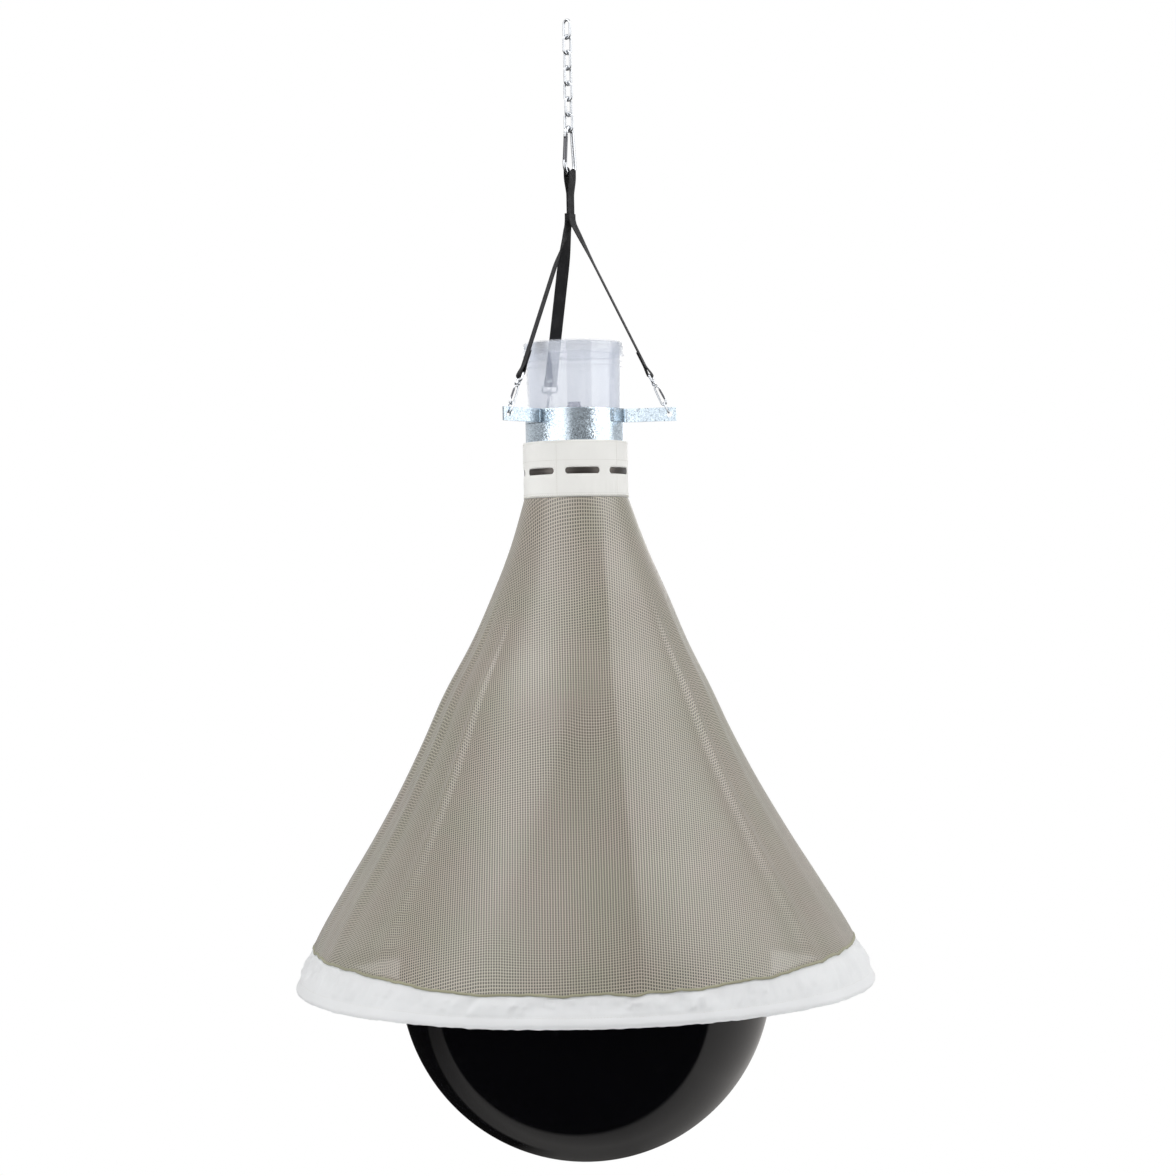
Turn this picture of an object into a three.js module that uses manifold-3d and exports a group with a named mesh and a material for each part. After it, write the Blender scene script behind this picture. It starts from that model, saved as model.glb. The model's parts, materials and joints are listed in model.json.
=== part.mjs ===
// Hanging horsefly trap: a black ball under a mesh cone, a catch jar on top, a harness and a chain.
// Millimetres, +Z up. The origin is the bearing point inside the top of the top chain link, on the
// line that the trap hangs on. The front is -Y.
import * as THREE from "three";
import { mergeVertices } from "three/addons/utils/BufferGeometryUtils.js";
import Module from "manifold-3d";

const wasm = await Module();
wasm.setup();

// Fits that all pieces share
const seatGap = 0.3;
const cutOverrun = 2;
const weldDistance = 1e-4;

// Chain
const chainWire = 4;
const chainInnerLength = 23.3;
const chainInnerWidth = 8;
const chainTurnsDeg = [-42, 30, -45, 42, -33, 48, -25];

// Carabiner
const carabiner = {
  wire: 6.5,
  topRadius: 9,
  bottomRadius: 14.25,
  length: 76.5,
  pinRadius: 1.25,
  hingeTongue: 4.8,
  noseRise: 4,
  noseOverlap: 5.5,
};
const carabinerTurnDeg = 60;

// Small snaps at the strap ends
const snap = {
  wire: 3,
  topRadius: 2.9,
  bottomRadius: 3.8,
  length: 33,
  pinRadius: 0.6,
  hingeTongue: 2.6,
  noseRise: 5.2,
  noseOverlap: 2.6,
};
const snapTurnDeg = 170;
const swivelPostRadius = 1.6;
const swivelHeadRadius = 3;
const swivelHeadHeight = 2.5;

// Both kinds of snap: shares of their own wire, and the play of their pins
const tongueShare = 0.4;
const forkShare = 0.42;
const pinPlay = 0.15;

// Strap eyes
const eyeBar = 3.2;
const eyeWindowHeight = 9.5;
const eyeWindowPlay = 0.6;
const eyeBossRadius = 3.6;
const eyeBossHeight = 5.5;
const eyeCorner = 2.4;

// Harness
const webbingWidth = 19;
const webbingThickness = 1.4;
const loopDrop = 63;
const loopTail = 10;
const loopShoulder = 16;
const loopCupRadius = 10.7;
const legTwistLength = 70;
const legStackPlaces = [-1.5, 1.5, 2.5];
const legSewnTop = 12;
const legSewnEnd = 38;
const legFlare = 18;

// Arm links
const armLinkWire = 2.8;
const armLinkInnerLength = 14;
const armLinkInnerWidth = 7;

// Arms: three alike, set round the ring
const legDrop = 290;
const armReach = 153;
const armHoleReach = 143;
const armHoleRadius = 4.5;
const armHeight = 20;
const armThickness = 3;
const armBend = 3.5;
const armFootDeg = 29.5;
const armAnglesDeg = [-12, -132, 108];
const armNames = ["right", "left", "rear"];
const strapTurnsDeg = [0, -28, 0];

// Ring
const ringRadius = 73;
const ringWall = 1.5;
const ringHeight = 122;
const beadDepth = 2.2;
const beadHalfHeight = 3;

// Seat plate with its crossbar
const seatThickness = 2;
const seatOpeningRadius = 59;
const crossbarWidth = 16;

// Jar, lid and inner funnel
const jarDepth = 94;
const jarHeight = 191.5;
const jarTopRadius = 71.5;
const jarBottomRadius = 67.4;
const jarWall = 1.6;
const jarRimHeight = 4;
const jarRimFlare = 2;
const jarRidge = 0.9;
const jarRidgeDrop = 30;
const lidWall = 1.8;
const lidSkirt = 19;
const lidCorner = 3;
const funnelMouthRadius = 9;
const funnelWall = 1.5;
const funnelHeight = 107;
const funnelFlangeHeight = 2;
const funnelBaseShare = 0.955;

// Collar and its clamp
const collarTopDrop = 48;
const collarHeight = 82;
const collarLining = 1.6;
const collarChannel = 1.6;
const collarFacing = 1.2;
const clampDrop = 44;
const clampWidth = 9;
const clampThickness = 0.8;
const channelPlay = 0.6;
const slotCount = 7;
const slotShare = 0.747;
const slotCentreDeg = -82.3;
const housingSlot = 3;
const housingLength = 15;
const housingWidth = 13;
const housingBase = 0.8;
const housingWall = 1;
const screwRadius = 3.3;
const screwHeadRadius = 4.4;
const screwHeadLength = 5;
const screwTail = 3;
const screwSlot = 1.1;

// Mesh cone
const coneDrop = 709.7;
const coneWall = 1.6;
const coneLap = 0.8;
const foldCount = 11;
const foldDepth = 2.6;
const flareShares = [0, 0.075, 0.164, 0.251, 0.353, 0.447, 0.55, 0.666, 0.791, 0.909, 1];

// Hem and hoop
const hemRise = 58;
const hemDip = 22;
const hemWall = 1.6;
const hoopRadius = 5;
const hoopReach = 419.5;
const hemRollDeg = 262;
const hemCurls = 6;

// Ball, its lug, cord and hook
const ballRadius = 275;
const ballWall = 1;
const plugRadius = 5;
const plugLength = 9;
const plugHeadRadius = 9;
const plugHeadHeight = 2.5;
const plugTiltDeg = 18;
const lugSleeveLength = 36;
const lugSleeveRadius = 8;
const lugBorePlay = 0.6;
const lugStemRadius = 7;
const lugFlangeRadius = 21;
const lugFlangeHeight = 5;
const lugHeight = 59;
const cordRadius = 1.5;
const knotRadius = 6;
const knotHeight = 17;
const knotDrop = 178;
const cordDrop = 379;
const cordSpread = 27.5;
const cordSpreadShares = [0.1, 0.3, 0.52, 0.7, 0.84, 0.95, 1, 0.93];
const cordDropShares = [0, 0.2, 0.43, 0.62, 0.76, 0.87, 0.93, 0.975];
const cordTailInset = 5.5;
const hookWire = 5;
const hookEyeRadius = 8;
const hookShankRadius = 3;
const hookNeck = 3;
const nutRadius = 5.8;
const nutHeight = 5;
const threadTail = 2.5;

// Faces
const turnedSides = 40;
const clothSides = 44;
const smallSides = 12;
const wireSides = 8;
const thinWireSides = 6;
const linkSteps = 14;
const armLinkSteps = 12;
const carabinerSteps = 32;
const snapSteps = 20;
const ballColumns = 28;
const ballRows = 14;

// Colours and finishes
const finish = (color, roughness, metalness, opacity = 1) =>
  new THREE.MeshStandardMaterial({ color, roughness, metalness, opacity, transparent: opacity < 1 });
const zinc = finish(0xb9bfc6, 0.35, 0.9);
const galvanised = finish(0xaebccb, 0.4, 0.85);
const stainless = finish(0x8d8f92, 0.3, 0.95);
const darkSteel = finish(0x3c3e42, 0.4, 0.9);
const blackWebbing = finish(0x151517, 0.85, 0);
const clearPlastic = finish(0xccd0e6, 0.15, 0, 0.4);
const funnelPlastic = finish(0xb4b4c8, 0.3, 0, 0.7);
const whiteCloth = finish(0xeceae2, 0.9, 0);
const taupeMesh = finish(0x938b7c, 0.9, 0);
const whiteCord = finish(0xe6e3d8, 0.8, 0);
const hoopPlastic = finish(0xd8d6cc, 0.6, 0);
const blackVinyl = finish(0x0b0b0d, 0.12, 0);
const blackRubber = finish(0x121214, 0.5, 0);

const radians = THREE.MathUtils.degToRad;

// Places that several pieces share, as heights above the origin
const linkPitch = chainInnerLength - seatGap;
const chainEnd = -chainInnerLength - (chainTurnsDeg.length - 1) * linkPitch;
const carabinerTop = chainEnd + seatGap;
const carabinerBearing = carabinerTop - (carabiner.length - 2 * carabiner.wire);
const junctionHeight = carabinerBearing - loopDrop;
const armHoleHeight = junctionHeight - loopTail - legDrop;
const ringTop = armHoleHeight + armHeight / 2;
const jarBase = ringTop - jarDepth;
const seatTop = jarBase - seatGap;
const seatBase = seatTop - seatThickness;
const beadHeight = seatBase - seatGap - beadHalfHeight;
const ringInner = ringRadius - ringWall;
const collarTop = ringTop - collarTopDrop;
const collarBase = collarTop - collarHeight;
const clampHeight = collarTop - clampDrop;
const housingTurnDeg = slotCentreDeg + (housingSlot * 360) / slotCount;
const collarInner = ringRadius + seatGap;
const channelInner = collarInner + collarLining;
const channelOuter = channelInner + collarChannel;
const collarOuter = channelOuter + collarFacing;
const coneTop = collarBase - seatGap;
const hoopHeight = coneTop - coneDrop;
const hemCurlDeg = hemRollDeg / hemCurls;
const hemRoll = (hoopRadius + seatGap) / Math.cos(radians(hemCurlDeg / 2)) + hemWall;
const hookEyeHeight = seatBase - hookNeck - hookEyeRadius - hookWire / 2;
const cordPivot = hookEyeHeight - hookEyeRadius;
const lugAxis = cordPivot - cordDrop;
const ballHeight = lugAxis - lugHeight - ballRadius;

const at = (x, y, z) => new THREE.Vector3(x, y, z);
const bearing = (angle) => at(Math.cos(radians(angle)), Math.sin(radians(angle)), 0);
const lerp = THREE.MathUtils.lerp;
const smooth = (t) => THREE.MathUtils.smoothstep(t, 0, 1);

// Merges the corners that faces share, drops faces that have no area and turns the rest outward.
function closed(geometry) {
  const bare = new THREE.BufferGeometry();
  bare.setAttribute("position", geometry.getAttribute("position").clone());
  if (geometry.index) bare.setIndex(geometry.index.clone());
  const merged = mergeVertices(bare, weldDistance);
  const place = merged.getAttribute("position");
  const corner = (i) => at().fromBufferAttribute(place, i);
  const kept = [];
  let volume = 0;
  for (let i = 0; i < merged.index.count; i += 3) {
    const [a, b, c] = [0, 1, 2].map((k) => merged.index.getX(i + k));
    if (a === b || b === c || c === a) continue;
    kept.push([a, b, c]);
    volume += corner(a).dot(corner(b).cross(corner(c)));
  }
  merged.setIndex(kept.flatMap(([a, b, c]) => (volume < 0 ? [a, c, b] : [a, b, c])));
  merged.computeVertexNormals();
  return merged;
}

function toSolid(geometry) {
  const tidy = closed(geometry);
  return new wasm.Manifold(
    new wasm.Mesh({
      numProp: 3,
      vertProperties: new Float32Array(tidy.getAttribute("position").array),
      triVerts: new Uint32Array(tidy.index.array),
    }),
  );
}

function fromSolid(solid) {
  const made = solid.getMesh();
  const geometry = new THREE.BufferGeometry();
  geometry.setAttribute("position", new THREE.BufferAttribute(made.vertProperties, 3));
  geometry.setIndex(new THREE.BufferAttribute(made.triVerts, 1));
  geometry.computeVertexNormals();
  return geometry;
}

const join = (...geometries) => fromSolid(geometries.map(toSolid).reduce((a, b) => a.add(b)));

const cut = (geometry, ...cutters) =>
  fromSolid(cutters.map(toSolid).reduce((a, b) => a.subtract(b), toSolid(geometry)));

// A box about the origin
const block = (x, y, z) => new THREE.BoxGeometry(x, y, z);

// A round bar about the origin, along the given axis
function rod(radius, length, axis, sides = smallSides) {
  const bar = new THREE.CylinderGeometry(radius, radius, length, sides);
  if (axis === "x") bar.rotateZ(Math.PI / 2);
  if (axis === "z") bar.rotateX(Math.PI / 2);
  return bar;
}

// A turned body from [radius, height] points that close on themselves or end on the axis
function turned(profile, sides = turnedSides) {
  const points = profile.map(([radius, height]) => new THREE.Vector2(radius, height));
  return closed(new THREE.LatheGeometry(points, sides).rotateX(Math.PI / 2));
}

// A turned wall: the outer points from top to base, then the inner ones from base to top
const turnedWall = (outer, inner, sides) => turned([...outer, ...inner, outer[0]], sides);

// A round bar along a curve
function tube(curve, radius, sides, steps) {
  const ring = Array.from({ length: sides }, (_, i) => {
    const angle = (2 * Math.PI * (i + 0.5)) / sides;
    return new THREE.Vector2(radius * Math.cos(angle), radius * Math.sin(angle));
  });
  const section = new THREE.Shape(ring);
  return closed(new THREE.ExtrudeGeometry(section, { steps, extrudePath: curve }));
}

// A skin over a row of like sections. The first half of a section's points runs along one side and
// the second half runs back along the other, so a strip of faces closes each end.
function loft(sections, around = false) {
  const count = sections[0].length;
  const faces = [];
  const quad = (a, b, c, d) => faces.push(a, b, c, a, c, d);
  const spans = around ? sections.length : sections.length - 1;
  for (let s = 0; s < spans; s += 1) {
    const here = s * count;
    const next = ((s + 1) % sections.length) * count;
    for (let i = 0; i < count; i += 1) {
      const j = (i + 1) % count;
      quad(here + i, here + j, next + j, next + i);
    }
  }
  const last = (sections.length - 1) * count;
  for (let i = 0; !around && i + 1 < count / 2; i += 1) {
    const far = count - 1 - i;
    quad(i, far, far - 1, i + 1);
    quad(last + i, last + i + 1, last + far - 1, last + far);
  }
  const places = sections.flat().flatMap((p) => [p.x, p.y, p.z]);
  const geometry = new THREE.BufferGeometry();
  geometry.setAttribute("position", new THREE.Float32BufferAttribute(places, 3));
  geometry.setIndex(faces);
  return closed(geometry);
}

// Webbing along a row of points. across gives the direction of its width at each point, and lift
// raises a point of the width there.
function webbing(points, across, columns = 1, lift = () => 0) {
  const sections = points.map((point, i) => {
    const before = points[Math.max(i - 1, 0)];
    const after = points[Math.min(i + 1, points.length - 1)];
    const along = after.clone().sub(before).normalize();
    const width = across(i).clone();
    width.addScaledVector(along, -width.dot(along)).normalize();
    const out = along.clone().cross(width);
    const row = (side) =>
      Array.from({ length: columns + 1 }, (_, k) => {
        const offset = (k / columns - 0.5) * webbingWidth;
        return point
          .clone()
          .addScaledVector(width, offset)
          .addScaledVector(out, (side * webbingThickness) / 2)
          .add(at(0, 0, lift(i, offset)));
      });
    return [...row(1), ...row(-1).reverse()];
  });
  return loft(sections);
}

// Points on an arc in a plane: first and second are the plane's directions.
function arc(centre, radius, first, second, from, to, steps) {
  return Array.from({ length: steps + 1 }, (_, i) => {
    const angle = radians(lerp(from, to, i / steps));
    return centre
      .clone()
      .addScaledVector(first, radius * Math.cos(angle))
      .addScaledVector(second, radius * Math.sin(angle));
  });
}

// The outline of a strip of metal that follows a row of points in a plane
function stripShape(points, thickness) {
  const side = (sign) =>
    points.map((point, i) => {
      const before = points[Math.max(i - 1, 0)];
      const after = points[Math.min(i + 1, points.length - 1)];
      const along = after.clone().sub(before).normalize();
      return point.clone().add(new THREE.Vector2(-along.y, along.x).multiplyScalar(sign * thickness));
    });
  return new THREE.Shape([...side(0.5), ...side(-0.5).reverse()]);
}

function piece(name, geometry, material, parent) {
  const mesh = new THREE.Mesh(closed(geometry), material);
  mesh.name = name;
  parent.add(mesh);
  return mesh;
}

const trap = new THREE.Group();

// An oval link in the XZ plane about the origin: a ring drawn out along Z. A flat face of the ring
// meets each axis, so its radius is set over the flats.
function ovalLink(wire, innerLength, innerWidth, steps, sides) {
  const radius = (innerWidth + wire) / 2 / Math.cos(Math.PI / steps);
  const ring = new THREE.TorusGeometry(radius, wire / 2, sides, steps);
  ring.rotateZ(Math.PI / steps).rotateX(Math.PI / 2);
  const place = ring.getAttribute("position");
  for (let i = 0; i < place.count; i += 1) {
    const z = place.getZ(i);
    place.setZ(i, z + (Math.sign(z) * (innerLength - innerWidth)) / 2);
  }
  return ring;
}

function addChain() {
  chainTurnsDeg.forEach((turn, i) => {
    const oval = ovalLink(chainWire, chainInnerLength, chainInnerWidth, linkSteps, wireSides);
    const link = piece(`chain_link_${i + 1}`, oval, zinc, trap);
    link.position.z = -chainInnerLength / 2 - i * linkPitch;
    link.rotation.z = radians(turn);
  });
}

// The centre lines of a pear-shaped snap in the XZ plane, with its upper bearing point at the
// origin: two arcs and the lines that touch both. The gate lies on the -X side.
function pear(size) {
  const drop = size.length - size.wire - size.topRadius - size.bottomRadius;
  const lean = Math.asin((size.bottomRadius - size.topRadius) / drop);
  const top = at(0, 0, size.wire / 2 - size.topRadius);
  const bottom = at(0, 0, top.z - drop);
  const onArc = (centre, radius, angle) =>
    centre.clone().add(at(radius * Math.cos(angle), 0, radius * Math.sin(angle)));
  const gateTop = onArc(top, size.topRadius, Math.PI - lean);
  const gateBottom = onArc(bottom, size.bottomRadius, Math.PI - lean);
  const upward = gateTop.clone().sub(gateBottom).normalize();
  const hinge = gateTop.clone().addScaledVector(upward, -1.2 * size.hingeTongue);
  const nose = gateBottom.clone().addScaledVector(upward, size.noseRise);
  return { top, bottom, lean, gateTop, gateBottom, upward, hinge, nose };
}

// Puts a shape that stands on Z along the gate's line, with its origin at a point of that line.
const alongGate = (geometry, line, point) =>
  geometry.rotateY(line.lean).translate(point.x, point.y, point.z);

// The open wire body of a snap, flattened to a tongue at its hinge and at its nose
function snapBody(size, sides, steps) {
  const line = pear(size);
  const leanDeg = THREE.MathUtils.radToDeg(line.lean);
  const [x, z] = [at(1, 0, 0), at(0, 0, 1)];
  const crown = arc(line.top, size.topRadius, x, z, 180 - leanDeg, leanDeg, 8);
  const foot = arc(line.bottom, size.bottomRadius, x, z, leanDeg, -180 - leanDeg, 10);
  const path = new THREE.CatmullRomCurve3([line.hinge, ...crown, ...foot, line.nose]);
  path.curveType = "centripetal";
  const wire = tube(path, size.wire / 2, sides, steps);
  const tongue = tongueShare * size.wire;
  const wide = 2 * size.wire;
  const slab = (side, length, point) => {
    const height = length + cutOverrun;
    const box = block(wide, wide, height).translate(0, (side * (wide + tongue)) / 2, 0);
    return alongGate(box, line, point);
  };
  const onLine = (point, distance) => point.clone().addScaledVector(line.upward, distance);
  const atHinge = onLine(line.hinge, (size.hingeTongue - cutOverrun) / 2);
  const noseTongue = size.noseOverlap + seatGap;
  const atNose = onLine(line.nose, (cutOverrun - noseTongue) / 2);
  const flat = cut(
    wire,
    slab(1, size.hingeTongue, atHinge),
    slab(-1, size.hingeTongue, atHinge),
    slab(1, noseTongue, atNose),
    slab(-1, noseTongue, atNose),
  );
  const disc = rod(size.wire / 2, tongue, "y");
  const hole = rod(size.pinRadius + pinPlay, wide, "y");
  const hinged = join(flat, alongGate(disc, line, line.hinge));
  return cut(hinged, alongGate(hole, line, line.hinge));
}

// The gate of a snap: a bar with a fork at each end, about its hinge pin
function snapGate(size) {
  const line = pear(size);
  const past = forkShare * size.wire;
  const reach = line.hinge.distanceTo(line.nose) + size.noseOverlap;
  const radius = size.wire / 2;
  const bar = rod(radius, past + reach, "z").translate(0, 0, (past - reach) / 2);
  const gap = tongueShare * size.wire + 2 * seatGap;
  const wide = 2 * size.wire;
  const slot = (from, to) => block(wide, gap, to - from).translate(0, 0, (from + to) / 2);
  const hole = rod(size.pinRadius + pinPlay, wide, "y");
  return cut(
    bar,
    slot(-radius - seatGap, past + cutOverrun),
    slot(-reach - cutOverrun, -reach + size.noseOverlap + seatGap),
    hole,
  );
}

// A snap's body, gate and pin in a group whose origin is its upper bearing point
function addSnap(names, size, body, parent) {
  const line = pear(size);
  piece(names.body, body, zinc, parent);
  const gate = piece(names.gate, snapGate(size), darkSteel, parent);
  gate.position.copy(line.hinge);
  gate.rotation.y = line.lean;
  const pin = piece(names.pin, rod(size.pinRadius, size.wire, "y"), zinc, parent);
  pin.position.copy(line.hinge);
}

function addCarabiner() {
  const group = new THREE.Group();
  group.position.z = carabinerTop;
  group.rotation.z = radians(carabinerTurnDeg);
  trap.add(group);
  const names = { body: "carabiner_body", gate: "carabiner_gate", pin: "carabiner_pin" };
  addSnap(names, carabiner, snapBody(carabiner, wireSides, carabinerSteps), group);
}

// The sewn top loop: up one side, over the carabiner's foot and down the other. Its width is cupped
// where it lies in the foot's bend.
function addHarnessLoop() {
  const across = bearing(carabinerTurnDeg);
  const out = bearing(carabinerTurnDeg + 90);
  const up = at(0, 0, 1);
  const layer = (webbingThickness + seatGap) / 2;
  const bend = (carabiner.wire + webbingThickness) / 2 + seatGap;
  const crown = at(0, 0, carabinerBearing - carabiner.wire / 2);
  const side = (sign) => {
    const leg = (offset, drop) => at(0, 0, carabinerBearing - drop).addScaledVector(out, sign * offset);
    return [
      leg(layer, loopDrop + loopTail),
      leg(layer, loopDrop),
      leg(layer, 2.2 * loopShoulder),
      leg(lerp(layer, bend, 0.3), 1.6 * loopShoulder),
      leg(lerp(layer, bend, 0.75), 1.1 * loopShoulder),
      leg(bend, 0.7 * loopShoulder),
    ];
  };
  const over = arc(crown, bend, out, up, 180, 0, 8);
  const points = [...side(-1), ...over, ...side(1).reverse()];
  const lift = (i, offset) => {
    const drop = carabinerBearing - points[i].z;
    const cup = 1 - smooth((drop - carabiner.wire) / (2 * loopShoulder - carabiner.wire));
    return cup * (loopCupRadius - Math.sqrt(loopCupRadius ** 2 - offset ** 2));
  };
  const loop = webbing(points, () => across, 4, lift);
  piece("harness_loop", loop, blackWebbing, trap);
}

// The line of one leg: from where its strap leaves the sewn stack to the hole in its arm
function legLine(k) {
  const stack = bearing(carabinerTurnDeg + 90).multiplyScalar(webbingThickness + seatGap);
  const start = at(0, 0, junctionHeight - loopTail).addScaledVector(stack, legStackPlaces[k]);
  const hole = bearing(armAnglesDeg[k]).multiplyScalar(armHoleReach).setZ(armHoleHeight);
  const upward = start.clone().sub(hole);
  const length = upward.length();
  upward.normalize();
  const across = bearing(armAnglesDeg[k] + 90 + strapTurnsDeg[k]);
  across.addScaledVector(upward, -across.dot(upward)).normalize();
  return { start, hole, upward, across, out: across.clone().cross(upward), length };
}

// How far up the leg's line each piece of its hardware stands, from the hole
const linkCentre = armHoleRadius - 2 * seatGap + armLinkInnerLength / 2;
const snapBearing = linkCentre + armLinkInnerLength / 2 - seatGap;
const snapTop = snapBearing - snap.wire + snap.length;
const eyeWindowBase = snapTop + seatGap + eyeBossHeight;
const eyeBarCentre = eyeWindowBase + eyeWindowHeight + eyeBar / 2;

// A leg's strap: sewn into the stack, twisted to its own plane, then round the bar of its eye and
// back up along itself.
function addLegStrap(k) {
  const leg = legLine(k);
  const on = (distance, offset = 0) =>
    leg.hole.clone().addScaledVector(leg.upward, distance).addScaledVector(leg.out, offset);
  const bend = (eyeBar / 2) * Math.SQRT2 + seatGap + webbingThickness / 2;
  const layer = webbingThickness + seatGap;
  const runs = 9;
  const flareTop = eyeBarCentre + legFlare;
  const first = leg.start.clone().add(at(0, 0, legSewnTop));
  const middle = leg.start.clone().add(at(0, 0, legSewnTop / 3));
  const run = Array.from({ length: runs + 1 }, (_, i) =>
    on(lerp(leg.length - legSewnTop / 3, flareTop, i / runs)),
  );
  const round = arc(on(eyeBarCentre), bend, leg.out, leg.upward, 10, -190, 8);
  const points = [
    first,
    middle,
    ...run,
    on(eyeBarCentre + legFlare / 2, bend / 2),
    ...round,
    on(eyeBarCentre + legFlare / 2, -(bend + layer) / 2),
    on(flareTop, -layer),
    on(eyeBarCentre + legSewnEnd, -layer),
  ];
  const from = bearing(carabinerTurnDeg);
  if (from.dot(leg.across) < 0) from.negate();
  const across = (i) => {
    const drop = leg.start.z - points[i].z;
    return from.clone().lerp(leg.across, smooth(drop / legTwistLength)).normalize();
  };
  piece(`harness_strap_${armNames[k]}`, webbing(points, across), blackWebbing, trap);
}

// The eye that a strap is sewn to: a window for the webbing over a bored boss for the swivel
function eyeGeometry() {
  const halfWidth = webbingWidth / 2 + eyeWindowPlay + eyeBar;
  const height = eyeWindowHeight + 2 * eyeBar;
  const rounded = (path, half, low, high, corner) => {
    path.absarc(half - corner, high - corner, corner, 0, Math.PI / 2);
    path.absarc(corner - half, high - corner, corner, Math.PI / 2, Math.PI);
    path.absarc(corner - half, low + corner, corner, Math.PI, 1.5 * Math.PI);
    path.absarc(half - corner, low + corner, corner, 1.5 * Math.PI, 2 * Math.PI);
    return path;
  };
  const outline = rounded(new THREE.Shape(), halfWidth, -eyeBar, height - eyeBar, eyeCorner);
  const window = new THREE.Path();
  outline.holes.push(
    rounded(window, halfWidth - eyeBar, 0, eyeWindowHeight, eyeCorner - eyeBar / 2),
  );
  const plate = new THREE.ExtrudeGeometry(outline, {
    depth: eyeBar,
    bevelEnabled: false,
    curveSegments: 2,
  });
  plate.translate(0, 0, -eyeBar / 2).rotateX(Math.PI / 2).rotateZ(Math.PI / 2);
  const boss = rod(eyeBossRadius, eyeBossHeight, "z").translate(0, 0, -eyeBossHeight / 2);
  const bore = rod(swivelPostRadius + seatGap, 3 * eyeBossHeight, "z");
  return cut(join(plate, boss), bore);
}

// A small snap with the post and head of its swivel on top
function swivelSnapBody() {
  const lift = snap.wire / 2;
  const postTop = snap.wire + seatGap + eyeBossHeight + seatGap + swivelHeadHeight;
  const post = rod(swivelPostRadius, postTop - lift, "z").translate(0, 0, (postTop + lift) / 2);
  const head = rod(swivelHeadRadius, swivelHeadHeight, "z");
  head.translate(0, 0, postTop - swivelHeadHeight / 2);
  return join(snapBody(snap, thinWireSides, snapSteps), post, head);
}

function addLegHardware(k) {
  const name = armNames[k];
  const leg = legLine(k);
  const group = new THREE.Group();
  group.position.copy(leg.hole);
  const frame = new THREE.Matrix4().makeBasis(leg.out, leg.across, leg.upward);
  group.quaternion.setFromRotationMatrix(frame);
  trap.add(group);
  const level = new THREE.Group();
  level.rotation.z = radians(-strapTurnsDeg[k]);
  group.add(level);
  const oval = ovalLink(armLinkWire, armLinkInnerLength, armLinkInnerWidth, armLinkSteps, thinWireSides);
  const link = piece(`arm_link_${name}`, oval, zinc, level);
  link.position.z = linkCentre;
  link.rotation.z = Math.PI / 2;
  const hook = new THREE.Group();
  hook.position.z = snapTop - snap.wire;
  hook.rotation.z = radians(snapTurnDeg);
  level.add(hook);
  const names = { body: `snap_body_${name}`, gate: `snap_gate_${name}`, pin: `snap_pin_${name}` };
  addSnap(names, snap, swivelSnapBody(), hook);
  const eye = piece(`strap_eye_${name}`, eyeGeometry(), zinc, group);
  eye.position.z = eyeWindowBase;
}

// A flat bar on edge: it points out from the ring and its foot is bent round the ring's wall.
function addArm(k) {
  const middle = ringRadius + seatGap + armThickness / 2;
  const flat = (x, y) => new THREE.Vector2(x, y);
  const bend = [90, 120, 150, 180].map((angle) =>
    flat(
      middle + armBend + armBend * Math.cos(radians(angle)),
      -armBend + armBend * Math.sin(radians(angle)),
    ),
  );
  const steps = 6;
  const start = THREE.MathUtils.radToDeg(Math.asin(armBend / middle));
  const foot = Array.from({ length: steps }, (_, i) => {
    const angle = radians(-lerp(start, armFootDeg, (i + 1) / steps));
    return flat(middle * Math.cos(angle), middle * Math.sin(angle));
  });
  const outline = stripShape([flat(armReach, 0), ...bend, ...foot], armThickness);
  const bar = new THREE.ExtrudeGeometry(outline, { depth: armHeight, bevelEnabled: false });
  bar.translate(0, 0, -armHeight / 2);
  const hole = rod(armHoleRadius, armThickness + cutOverrun, "y").translate(armHoleReach, 0, 0);
  const arm = piece(`arm_${armNames[k]}`, cut(bar, hole), galvanised, trap);
  arm.position.z = armHoleHeight;
  arm.rotation.z = radians(armAnglesDeg[k]);
}

// The sheet ring: a plain wall with a bead rolled inward for the seat plate
function addRing() {
  const bead = (radius) => [
    [radius, beadHeight + beadHalfHeight],
    [radius - beadDepth, beadHeight + beadHalfHeight / 2],
    [radius - beadDepth, beadHeight - beadHalfHeight / 2],
    [radius, beadHeight - beadHalfHeight],
  ];
  const outer = [[ringRadius, ringTop], ...bead(ringRadius), [ringRadius, ringTop - ringHeight]];
  const inner = [[ringInner, ringTop - ringHeight], ...bead(ringInner).reverse(), [ringInner, ringTop]];
  piece("ring_band", turnedWall(outer, inner), galvanised, trap);
}

// The plate that the jar stands on, with two half-moon windows beside its crossbar
function addSeatPlate() {
  const plate = new THREE.Shape();
  plate.absarc(0, 0, ringInner - seatGap, 0, 2 * Math.PI);
  const half = crossbarWidth / 2;
  const angle = Math.asin(half / seatOpeningRadius);
  [0, Math.PI].forEach((turn) => {
    const window = new THREE.Path();
    window.absarc(0, 0, seatOpeningRadius, turn + angle, turn + Math.PI - angle);
    window.closePath();
    plate.holes.push(window);
  });
  const hole = new THREE.Path();
  hole.absarc(0, 0, hookShankRadius + seatGap, 0, 2 * Math.PI);
  plate.holes.push(hole);
  const geometry = new THREE.ExtrudeGeometry(plate, {
    depth: seatThickness,
    bevelEnabled: false,
    curveSegments: smallSides,
  });
  piece("seat_plate", geometry, galvanised, trap).position.z = seatBase;
}

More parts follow.
